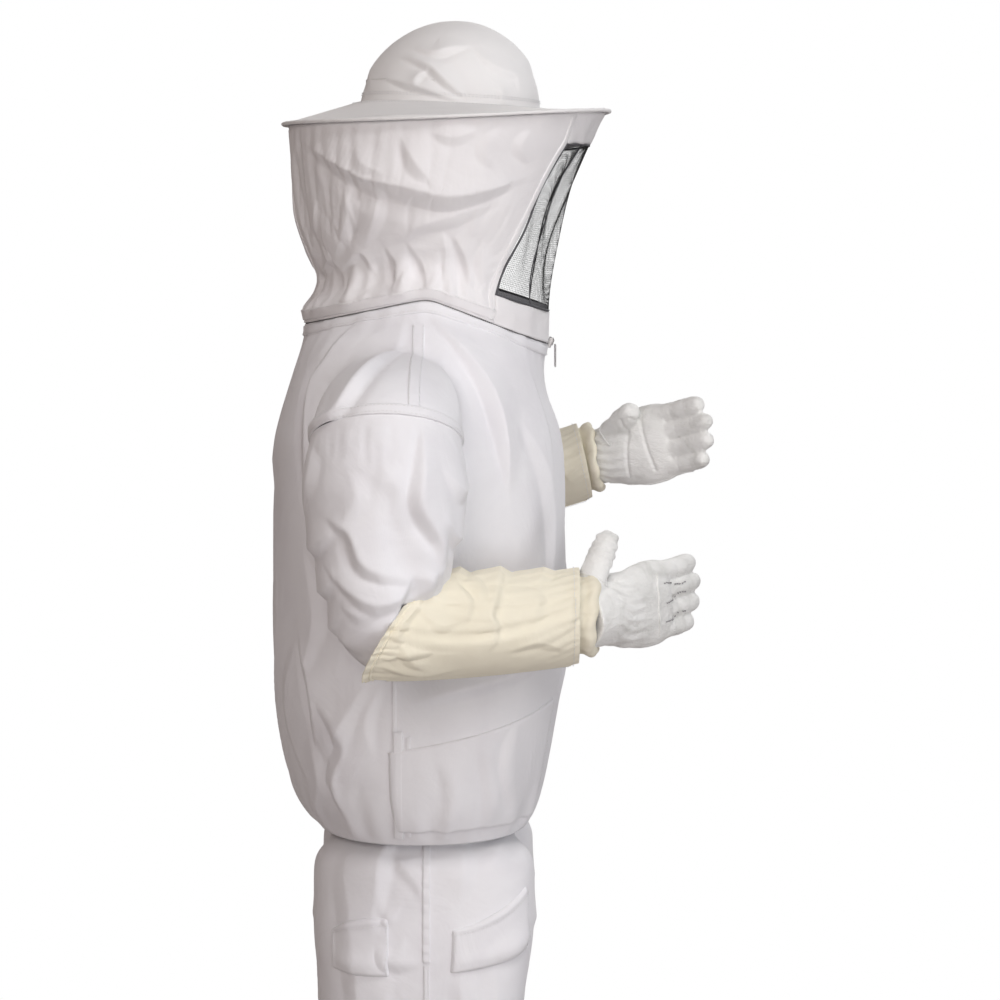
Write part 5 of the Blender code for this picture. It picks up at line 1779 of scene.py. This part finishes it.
def finish_gauntlet(gauntlet, name):
    arm = ARMS[name]
    subdivide(gauntlet)
    fold_all(gauntlet, GAUNTLET_CREASES[name])
    surface = surface_of(gauntlet)
    axis, top, across = forearm_frame(arm)
    body = f"{name}_glove"
    end_ring = gauntlet_ring(arm, 0.965, 0.0525, 0.0, 90)
    thread = [stitches("gauntlet_stitches", surface, end_ring, lift=0.001)]
    underside = [gauntlet_ring(arm, s, 0.056, 0.0, 8)[4] for s in np.linspace(0.06, 0.95, 14)]
    seam = tape("gauntlet_seam", surface, underside, 0.006, 0.0009)
    thread.append(stitches("gauntlet_stitches", surface, underside, lift=0.0016))
    lip = [gauntlet_ring(arm, *row, 170) for row in GAUNTLET_LIP]
    ruffle = grid_object(f"gauntlet_{name}_ruffle", smooth(np.array(lip), 10), closed=True)
    face_away(ruffle, arm_point(arm, arm["mouth"]))
    thicken(ruffle, 0.0009)
    ring = gauntlet_ring(arm, 0.004, 0.0548, 0.04, 220)
    elastic = tube_along(f"gauntlet_{name}_elastic_cord", ring, 0.0014, 8)
    thicken(gauntlet, 0.0011)
    finish(gauntlet, "canvas", body, [f"glove_gauntlet_{name}"])
    finish(seam, "canvas", body)
    finish(ruffle, "canvas", body)
    finish(elastic, "canvas", body, [f"gauntlet_elastic_{name}"])
    finish(join(f"gauntlet_{name}_stitching", thread), "canvas", body, look="white_thread")

    # the canvas turns back under itself at the wrist, in a thick uneven fold
    a = turns(150)
    rows = []
    for k, (share, radius) in enumerate(smooth(WRIST_FOLD, 30)):
        slack = 1 + 0.03 * np.sin(a * 3 + 0.9 + k * 0.07) + 0.022 * gathers(a, 5.0, (13, 19, 31))
        lean = 0.003 * np.sin(a * 2 + 0.6) + 0.0012 * np.sin(a * 9 + k * 0.1)
        r = radius * slack * arm["girth"] ** 0.7
        ring = np.outer(np.cos(a) * r, top) + np.outer(np.sin(a) * r, across)
        rows.append(arm_point(arm, 0.0) + ring + np.outer(gauntlet_along(arm, a, share, r) + lean, axis))
    roll = grid_object(f"wrist_{name}_roll", np.array(rows), closed=True)
    face_out(roll)
    thicken(roll, 0.001, 0.0)
    finish(roll, "canvas", body, [f"glove_wrist_band_{name}"])


# the fold at the wrist: share of the gauntlet's length, and radius
WRIST_FOLD = (
    (0.95, 0.0455), (0.985, 0.042), (1.02, 0.0425), (1.055, 0.0462), (1.08, 0.047),
    (1.1, 0.0445), (1.106, 0.0405), (1.085, 0.0375), (1.04, 0.037),
)
PALM = (
    (-0.036, 0.034, 0.034), (0.004, 0.035, 0.03), (0.034, 0.042, 0.026),
    (0.066, 0.048, 0.021), (0.09, 0.048, 0.0165), (0.104, 0.044, 0.012),
)
FINGERS = (
    (0.0335, 0.076, 0.012), (0.0113, 0.084, 0.0122), (-0.011, 0.08, 0.0118),
    (-0.0325, 0.068, 0.0112),
)
FINGER_PROFILE = (
    (-0.25, 0.95), (0.0, 1.0), (0.22, 1.01), (0.36, 0.98), (0.55, 1.0), (0.74, 0.97),
    (0.88, 0.88), (0.96, 0.7), (1.0, 0.36),
)
FINGER_ROOT = 0.09
THUMB_LENGTH, THUMB_RADIUS = 0.076, 0.015
FINGER_CURL = 0.16
HAND_BASE = 0.2624
HAND_VOXEL = 0.0019


def hand_frame(arm):
    yaw, rise = math.radians(arm["hand_yaw"]), math.radians(arm["hand_rise"])
    fingers = np.array((math.cos(yaw) * math.cos(rise), math.sin(yaw) * math.cos(rise), math.sin(rise)))
    back = unit((fingers[1], -fingers[0], 0)) * (1 if arm["wrist"][1] < 0 else -1)
    side = np.cross(fingers, back)
    return fingers, back, side * (-1 if side[2] < 0 else 1)


def make_hand(name):
    """A leather glove's hand: loose fingers, a full thumb with a rolled root, sewn lines on its back."""
    arm = ARMS[name]
    fingers, back, side = hand_frame(arm)
    wrist = arm_point(arm, HAND_BASE)

    def place(along, out, across):
        return wrist + fingers * along + back * out + side * across

    parts = []
    path = [place(s, 0, 0) for s, _, _ in PALM]
    radii = [(w, t) for _, w, t in PALM]
    parts.append(closed_tube("palm_solid", rings_on_path(path, radii, side, 40, 64)))
    for across, length, radius in FINGERS:
        path = []
        for s, _ in FINGER_PROFILE:
            curl = -FINGER_CURL * length * max(s, 0) ** 2
            path.append(place(FINGER_ROOT + length * s, curl, across))
        radii = [(radius * g, radius * g * 0.94) for _, g in FINGER_PROFILE]
        parts.append(closed_tube("finger_solid", rings_on_path(path, radii, side, 34, 28)))
    t = arm["thumb"]
    direction = unit(fingers * t[0] - back * t[1] + side * t[2])
    root = place(*arm["thumb_root"])
    path, radii = [], []
    for s, g in FINGER_PROFILE:
        path.append(root + direction * THUMB_LENGTH * s + fingers * (0.006 * max(s, 0) ** 2))
        width = 1.22 - 0.24 * min(1, max(s, 0) * 1.3)
        radii.append((THUMB_RADIUS * g * width, THUMB_RADIUS * g * 0.95))
    parts.append(closed_tube("thumb_solid", rings_on_path(path, radii, back, 34, 32)))
    heel = [place(0.0, -0.006, 0.01), place(0.03, -0.01, 0.02), place(0.062, -0.006, 0.026)]
    heel_sizes = [(0.016, 0.014), (0.021, 0.016), (0.012, 0.01)]
    parts.append(closed_tube("thumb_base", rings_on_path(heel, heel_sizes, side, 20, 24)))
    hand = join(f"hand_{name}_leather", parts)
    remesh(hand, HAND_VOXEL)
    smooth_mesh(hand, 0.5, 5)
    points, n = coords(hand), normals(hand)
    local = points - wrist
    along, out, across = local @ fingers, local @ back, local @ side
    shift = np.zeros(len(points))
    for k in range(len(points)):
        q = Vector((along[k] * 26, out[k] * 60, across[k] * 75))
        shift[k] = 0.0008 * noise.noise(q) + 0.0004 * noise.noise(q * 3.1)
    heel_wrinkles = np.exp(-(((along - 0.022) / 0.024) ** 2))
    shift += heel_wrinkles * 0.0009 * np.sin(across * 560 + 180 * along + 2.2 * np.sin(along * 90))
    palm_side = out < 0
    lines = np.exp(-(((along - 0.052 - 0.25 * across) / 0.0022) ** 2))
    lines = lines + np.exp(-(((along - 0.078 + 0.12 * across) / 0.002) ** 2))
    shift -= np.where(palm_side & (np.abs(across) < 0.035), 0.0022 * lines, 0)
    for share in (0.36, 0.66):
        for offset, length, _ in FINGERS:
            joint = FINGER_ROOT + length * share
            near = np.abs(across - offset) < 0.012
            knuckle = np.exp(-(((along - joint) / 0.0022) ** 2))
            knuckle = knuckle + 0.6 * np.exp(-(((along - joint - 0.0055) / 0.0018) ** 2))
            shift -= np.where(near, 0.0006 * knuckle, 0)
    set_coords(hand, points + n * shift[:, None])
    surface = surface_of(hand)
    thread = []
    for offset in (0.0224, 0.0001, -0.0218):
        line = [place(s, 0.022, offset) for s in np.linspace(0.088, 0.136, 9)]
        thread.append(stitches("hand_lines", surface, line, 0.0034, 0.001, 0.0013, 0.0005))
    turn = np.linspace(1.25, -1.35, 16)
    band = [place(0.08 - 0.008 * math.cos(c * 1.2), 0.022, 0.03 * c) for c in turn]
    piping = tape("hand_piping", surface, band, 0.0032, 0.001)
    edge = [place(s, -0.004, -0.05 + 0.1 * max(0, 0.03 - s)) for s in np.linspace(0.0, 0.13, 18)]
    side_seam = tape("hand_side_seam", surface, edge, 0.0022, 0.0008)
    thumb_ring = []
    for a in np.linspace(0, 2 * math.pi, 26):
        out_of_root = back * math.cos(a) + np.cross(direction, back) * math.sin(a)
        thumb_ring.append(root + direction * 0.018 + out_of_root * 0.02)
    thumb_seam = tape("thumb_seam", surface, thumb_ring, 0.0022, 0.0008)
    body = f"{name}_glove"
    finish(hand, "leather", body, [f"glove_hand_{name}"])
    finish(join(f"hand_{name}_piping", [piping, side_seam, thumb_seam]), "leather", body)
    finish(join(f"hand_{name}_stitching", thread), "leather", body, look="grey_thread")


# ---------------------------------------------------------------- trousers
# height, back, front, half width; then each leg: height, back, front, centre Y, half width
SEAT_RINGS = (
    (0.775, -0.096, 0.096, 0.105),
    (0.8, -0.112, 0.104, 0.15),
    (0.85, -0.11, 0.103, 0.158),
    (0.92, -0.108, 0.102, 0.16),
    (0.98, -0.104, 0.101, 0.154),
    (1.005, -0.102, 0.101, 0.15),
)
LEG_RINGS = (
    (0.846, -0.104, 0.098, 0.086, 0.066),
    (0.83, -0.125, 0.123, 0.094, 0.086),
    (0.786, -0.127, 0.126, 0.096, 0.09),
    (0.74, -0.127, 0.125, 0.098, 0.092),
    (0.64, -0.118, 0.11, 0.099, 0.09),
    (0.48, -0.11, 0.088, 0.103, 0.085),
    (0.3, -0.104, 0.074, 0.107, 0.081),
    (0.15, -0.097, 0.062, 0.11, 0.077),
    (0.105, -0.082, 0.046, 0.111, 0.064),
    (0.086, -0.068, 0.034, 0.111, 0.051),
)
WAIST = 1.006
ANKLE = 0.086
SIDE_SEAM_X = 0.004
TROUSER_VOXEL = 0.0066
TROUSER_CREASES = {
    "right": (
        ("right", ((-0.033, 0.88), (-0.045, 0.842), (-0.052, 0.807), (-0.057, 0.754)), 0.01, 0.01),
        ("right", ((-0.028, 0.85), (-0.026, 0.835), (-0.008, 0.816), (0.001, 0.793)), 0.007, 0.0055),
        ("right", ((-0.052, 0.8), (-0.04, 0.776), (-0.03, 0.768)), 0.006, 0.0045),
        ("right", ((-0.048, 0.742), (-0.04, 0.728), (-0.024, 0.724), (-0.004, 0.724)), 0.008, 0.007),
        ("right", ((0.043, 0.87), (0.045, 0.83), (0.04, 0.79)), 0.011, 0.007),
        ("right", ((0.104, 0.88), (0.09, 0.85), (0.07, 0.815)), 0.011, 0.006),
        ("right", ((0.118, 0.752), (0.104, 0.738), (0.078, 0.727)), 0.009, 0.007),
        ("right", ((0.04, 0.716), (0.046, 0.64), (0.038, 0.54)), 0.013, 0.007),
        ("right", ((0.08, 0.72), (0.082, 0.66), (0.074, 0.56)), 0.013, 0.006),
        ("right", ((-0.078, 0.86), (-0.082, 0.78), (-0.074, 0.69), (-0.08, 0.59)), 0.014, 0.007),
        ("right", ((-0.04, 0.7), (-0.05, 0.62), (-0.042, 0.56)), 0.012, 0.006),
        ("right", ((-0.09, 0.52), (-0.04, 0.5), (0.02, 0.508), (0.06, 0.49)), 0.012, 0.006),
        ("right", ((-0.085, 0.47), (-0.04, 0.452), (0.01, 0.462)), 0.011, 0.006),
        ("right", ((-0.06, 0.42), (-0.05, 0.33), (-0.062, 0.24)), 0.014, 0.007),
        ("right", ((0.03, 0.43), (0.024, 0.33), (0.032, 0.23)), 0.013, 0.006),
        ("right", ((-0.085, 0.205), (-0.04, 0.188), (0.01, 0.196), (0.045, 0.182)), 0.011, 0.0075),
        ("right", ((-0.07, 0.16), (-0.03, 0.148), (0.02, 0.156)), 0.0095, 0.007),
    ),
    "left": (
        ("left", ((-0.05, 0.87), (-0.058, 0.82), (-0.05, 0.76)), 0.011, 0.008),
        ("left", ((0.05, 0.87), (0.046, 0.82), (0.052, 0.78)), 0.011, 0.007),
        ("left", ((0.046, 0.71), (0.04, 0.63), (0.048, 0.53)), 0.013, 0.007),
        ("left", ((-0.06, 0.69), (-0.052, 0.61), (-0.062, 0.54)), 0.013, 0.006),
        ("left", ((-0.095, 0.505), (-0.045, 0.488), (0.01, 0.498), (0.055, 0.484)), 0.012, 0.0065),
        ("left", ((-0.08, 0.455), (-0.03, 0.44), (0.02, 0.452)), 0.011, 0.006),
        ("left", ((-0.045, 0.41), (-0.055, 0.32), (-0.044, 0.23)), 0.014, 0.007),
        ("left", ((-0.08, 0.195), (-0.03, 0.18), (0.03, 0.192)), 0.011, 0.0075),
    ),
}
SHARED_TROUSER_CREASES = (
    ("front", ((0.012, 0.8), (0.06, 0.77), (0.11, 0.768)), 0.011, 0.0065),
    ("front", ((0.014, 0.78), (0.05, 0.735), (0.085, 0.69)), 0.011, 0.006),
    ("front", ((0.09, 0.69), (0.098, 0.6), (0.092, 0.52)), 0.014, 0.007),
    ("front", ((0.05, 0.5), (0.1, 0.484), (0.15, 0.498)), 0.012, 0.0065),
    ("front", ((0.06, 0.46), (0.105, 0.446), (0.15, 0.455)), 0.011, 0.0055),
    ("front", ((0.12, 0.42), (0.112, 0.32), (0.122, 0.22)), 0.014, 0.007),
    ("front", ((0.05, 0.185), (0.105, 0.168), (0.16, 0.182)), 0.011, 0.008),
    ("front", ((0.06, 0.14), (0.11, 0.13), (0.15, 0.142)), 0.009, 0.006),
    ("back", ((0.014, 0.805), (0.055, 0.775), (0.1, 0.772)), 0.012, 0.0075),
    ("back", ((0.016, 0.775), (0.045, 0.73), (0.07, 0.67)), 0.012, 0.0065),
    ("back", ((0.11, 0.72), (0.102, 0.62), (0.112, 0.53)), 0.014, 0.0075),
    ("back", ((0.04, 0.52), (0.095, 0.5), (0.15, 0.515)), 0.012, 0.0075),
    ("back", ((0.05, 0.475), (0.105, 0.458), (0.15, 0.47)), 0.012, 0.007),
    ("back", ((0.095, 0.4), (0.105, 0.31), (0.095, 0.22)), 0.014, 0.0075),
    ("back", ((0.05, 0.19), (0.11, 0.172), (0.165, 0.186)), 0.011, 0.008),
)


def leg_outside(angle, height, sign):
    """Points on a leg. The angle runs from the front to the outer side."""
    table = np.array(LEG_RINGS[1:])[::-1]
    back, front, centre, half = (np.interp(height, table[:, 0], table[:, k]) for k in (1, 2, 3, 4))
    x, y = oval(angle, back, front, half)
    return level(x, sign * (centre + y), height)


def start_trouser_half(name, sign):
    angle = turns(120)
    seat = []
    for height, back, front, half in SEAT_RINGS:
        x, y = oval(angle, back, front, half)
        seat.append(level(x, y, height))
    seat = smooth(np.array(seat), 50)
    top = seat[-1] + np.array((0, 0, 0.03))
    leg = []
    for height, back, front, centre, half in LEG_RINGS:
        x, y = oval(angle, back, front, half)
        leg.append(level(x, sign * (centre + y), height))
    leg = smooth(np.array(leg), 130)
    foot = leg[-1] - np.array((0, 0, 0.03))
    parts = [closed_tube("seat_solid", np.concatenate([seat, top[None]]))]
    parts.append(closed_tube("leg_solid", np.concatenate([leg, foot[None]])))
    half = join(f"trousers_{name}_cloth", parts)
    remesh(half, TROUSER_VOXEL)

    def beyond(points):
        past_middle = points[:, 1] * sign < 0.0
        return past_middle | (points[:, 2] > up(WAIST) - 0.001) | (points[:, 2] < up(ANKLE) + 0.001)

    cut_away(half, beyond)
    face_out(half)
    edge = boundary_points(half)
    points = coords(half)
    waist = seat[-1].copy()
    waist[:, 2] = up(WAIST)
    ankle = leg[-1]
    for i in edge:
        p = points[i]
        if p[2] > up(WAIST) - 0.012:
            points[i] = waist[np.linalg.norm(waist - p, axis=1).argmin()]
        elif p[2] < up(ANKLE) + 0.012:
            points[i] = ankle[np.linalg.norm(ankle - p, axis=1).argmin()]
        if abs(p[1]) < 0.009 and p[2] > up(0.7):
            points[i, 1] = 0.0
    set_coords(half, points)
    relax(half, edge, 10)
    start = coords(half)
    height = start[:, 2] - up(ANKLE)
    below_waist = up(WAIST) - start[:, 2]
    crotch = np.clip((start[:, 2] - up(0.72)) / 0.12, 0, 1)
    centre_y = sign * 0.105 * (1 - crotch)
    slack = 1.035 + 0.06 * np.exp(-((below_waist / 0.05) ** 2)) + 0.07 * np.exp(-((height / 0.05) ** 2))
    cut = start.copy()
    cut[:, 0] = -0.01 + (start[:, 0] + 0.01) * slack
    cut[:, 1] = centre_y + (start[:, 1] - centre_y) * slack
    cut[:, 2] = up(WAIST) - below_waist * 1.035
    hold = np.full(len(start), 0.02)
    hold[edge] = 1.0
    hang(half, hold, cut, 0.01, bending=0.8)
    return half


def leg_blend(piece):
    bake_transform(piece)


def finish_trousers(halves):
    for name, sign in SIDES:
        half = halves[name]
        subdivide(half)
        jog = 0.0 if sign > 0 else 0.012
        shared = []
        for view, line, width, height in SHARED_TROUSER_CREASES:
            moved = tuple((sign * (y + jog * (z - 0.5)), z - jog) for y, z in line)
            shared.append((view, moved, width, height))
        fold_all(half, TROUSER_CREASES[name], shared)
        points, n = coords(half), normals(half)
        centre_y = np.where(points[:, 2] > up(0.8), 0.0, sign * 0.108)
        around = np.arctan2(points[:, 1] - centre_y, points[:, 0] + 0.015)
        ankle_gap, waist_gap = points[:, 2] - up(ANKLE), up(WAIST) - points[:, 2]
        drawn = np.exp(-(((ankle_gap - 0.014) / 0.026) ** 2)) * np.clip(ankle_gap / 0.006, 0, 1)
        waist = np.exp(-(((waist_gap - 0.015) / 0.03) ** 2)) * np.clip(waist_gap / 0.006, 0, 1)
        ripple = gathers(around, 1.0 + sign, (11, 17, 27)) * 0.0042 * drawn
        ripple += gathers(around, 4.0, (24, 37, 53)) * 0.003 * waist
        ripple = np.where(np.abs(points[:, 1]) < 0.004, 0.0, ripple)
        set_coords(half, points + n * ripple[:, None])
        surface = surface_of(half)
        trim, thread = [], []
        side = on_surface(surface, name, [(SIDE_SEAM_X, h) for h in np.linspace(1.0, 0.726, 24)])
        trim.append(tape("side_seam_upper", surface, side, 0.0085, 0.0016, 0.0035, ruche=0.9))
        low = on_surface(surface, name, [(SIDE_SEAM_X, h) for h in np.linspace(0.722, 0.1, 44)])
        trim.append(tape("side_seam_lower", surface, low, 0.006, 0.0012))
        for shift in (-0.0022, 0.0022):
            places = [(SIDE_SEAM_X + shift, h) for h in np.linspace(0.722, 0.11, 44)]
            line = on_surface(surface, name, places)
            thread.append(stitches("side_stitches", surface, line, lift=0.0015))
        inner = [(-0.008, sign * 0.016, up(h)) for h in np.linspace(0.745, 0.11, 34)]
        trim.append(tape("inner_seam", surface, inner, 0.005, 0.001))
        seams = join(f"trousers_{name}_seams", trim)
        stitching = join(f"trousers_{name}_stitching", thread)
        for row in TROUSER_POCKETS:
            trouser_pocket(surface, name, sign, *row)
        middle = []
        for view, shift in (("front", 1), ("back", -1)):
            heights = np.linspace(0.995, 0.788, 16)
            line = on_surface(surface, view, [(sign * 0.004, h) for h in heights])
            middle.append(tape("middle_seam", surface, line, 0.006, 0.0012))
        thicken(half, 0.0012)
        replaced = [f"trouser_front_{name}", f"trouser_back_{name}", f"trouser_lower_leg_{name}"]
        finish(half, "cotton", None, replaced)
        finish(seams, "cotton", None)
        finish(stitching, "cotton", None, look="white_thread")
        for piece in (half, seams, stitching):
            leg_blend(piece)
        finish(join(f"trousers_{name}_middle_seam", middle), "cotton", "trousers")
        make_ankle(name, sign)
    make_waistband()


# face, first and last angle from the front, mouth and bottom heights at those angles
TROUSER_POCKETS = (
    ("front", 78, 24, (0.762, 0.803), (0.712, 0.728), (0.125, 0.078), 0.0073),
    ("back", 104, 142, (0.775, 0.757), (0.708, 0.712), (0.092, 0.068), 0.0053),
)


def trouser_pocket(surface, name, sign, face, first, last, mouth, bottom, flat, area):
    share = np.linspace(0, 1, 34)
    angle = np.radians(first + (last - first) * share)
    high = mouth[0] + (mouth[1] - mouth[0]) * share**1.5
    low = bottom[0] + (bottom[1] - bottom[0]) * share
    grid = np.array([leg_outside(angle, low + (high - low) * v, sign) for v in np.linspace(0, 1, 26)])
    pocket = patch(f"trouser_{face}_pocket_{name}_cloth", surface, grid, 0.003)
    points = coords(pocket).reshape(26, 34, 3)
    face_away(pocket, np.array((-0.01, sign * 0.1, up(0.75))))
    n = normals(pocket).reshape(26, 34, 3)
    v, u = np.meshgrid(np.linspace(0, 1, 26), np.linspace(0, 1, 34), indexing="ij")
    puff = np.sin(np.pi * u) ** 0.6 * np.exp(-(((v - 0.22) / 0.22) ** 2)) * 0.0045
    gape = np.sin(np.pi * u) * np.exp(-(((v - 1.0) / 0.1) ** 2)) * 0.003
    points = points + n * (puff + gape)[..., None]
    set_coords(pocket, points.reshape(-1, 3))
    top = surface_of(pocket)
    rows = (points[-4], points[1:-1, 1], points[1:-1, -2])
    thread = [stitches("pocket_stitches", top, row, lift=0.0004) for row in rows]
    thicken(pocket, 0.0009)
    subdivide(pocket)
    finish(pocket, "cotton", "trousers", [f"trouser_{face}_pocket_{name}"])
    finish(
        join(f"trouser_{face}_pocket_{name}_stitching", thread),
        "cotton",
        "trousers",
        look="white_thread",
    )


def make_ankle(name, sign):
    """A knitted elastic hem, drawn in."""
    angle = turns(180)
    rows = []
    for height in np.linspace(0.058, 0.0875, 12):
        waist = 1 - 0.03 * math.sin(math.pi * (height - 0.058) / 0.03)
        radius = 0.05 * waist * (1 + 0.012 * np.sin(60 * angle))
        x, y = -0.017 + radius * np.cos(angle), sign * 0.111 + radius * np.sin(angle)
        rows.append(level(x, y, height))
    knit = grid_object(f"ankle_{name}_knit", np.array(rows), closed=True)
    face_away(knit, np.array((-0.017, sign * 0.111, up(0.07))))
    thicken(knit, 0.0015, -1.0)
    finish(knit, "elastic", f"{name}_lower_leg", [f"ankle_elastic_{name}"])


def make_waistband():
    """Elastic in a casing, gathered round the waist."""
    angle = turns(240)
    rows = []
    for share in np.linspace(0, 1, 14):
        height = 1.0045 + 0.0315 * share
        x, y = oval(angle, -0.102, 0.102, 0.15)
        bulge = 1 + 0.01 * math.sin(math.pi * share) + 0.01 * gathers(angle, 1.7, (40, 62, 87))
        rows.append(level(x * bulge, y * bulge, height))
    band = grid_object("trousers_waistband", np.array(rows), closed=True)
    face_away(band, np.array((0, 0, up(1.02))))
    thicken(band, 0.0022, -1.0)
    finish(band, "elastic", "trousers", ["trouser_waistband"])


# ---------------------------------------------------------------- the whole suit
MATERIALS = make_materials()
make_camera()
make_stage()

crown, veil, smock = start_crown(), start_veil(), start_smock()
sleeves = {name: start_sleeve(name, sign) for name, sign in SIDES}
gauntlets = {name: start_gauntlet(name) for name, _ in SIDES}
halves = {name: start_trouser_half(name, sign) for name, sign in SIDES}
settle()

finish_hat(crown)
finish_veil(veil)
make_net()
make_zip()
finish_smock(smock)
for name, sign in SIDES:
    finish_sleeve(sleeves[name], name, sign)
    finish_gauntlet(gauntlets[name], name)
    make_hand(name)
finish_trousers(halves)

for name in ("zip_slider_left", "zip_slider_right", "zip_pull_left", "zip_pull_right"):
    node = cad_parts[name]
    node.data.materials.clear()
    node.data.materials.append(MATERIALS["zip_metal"])
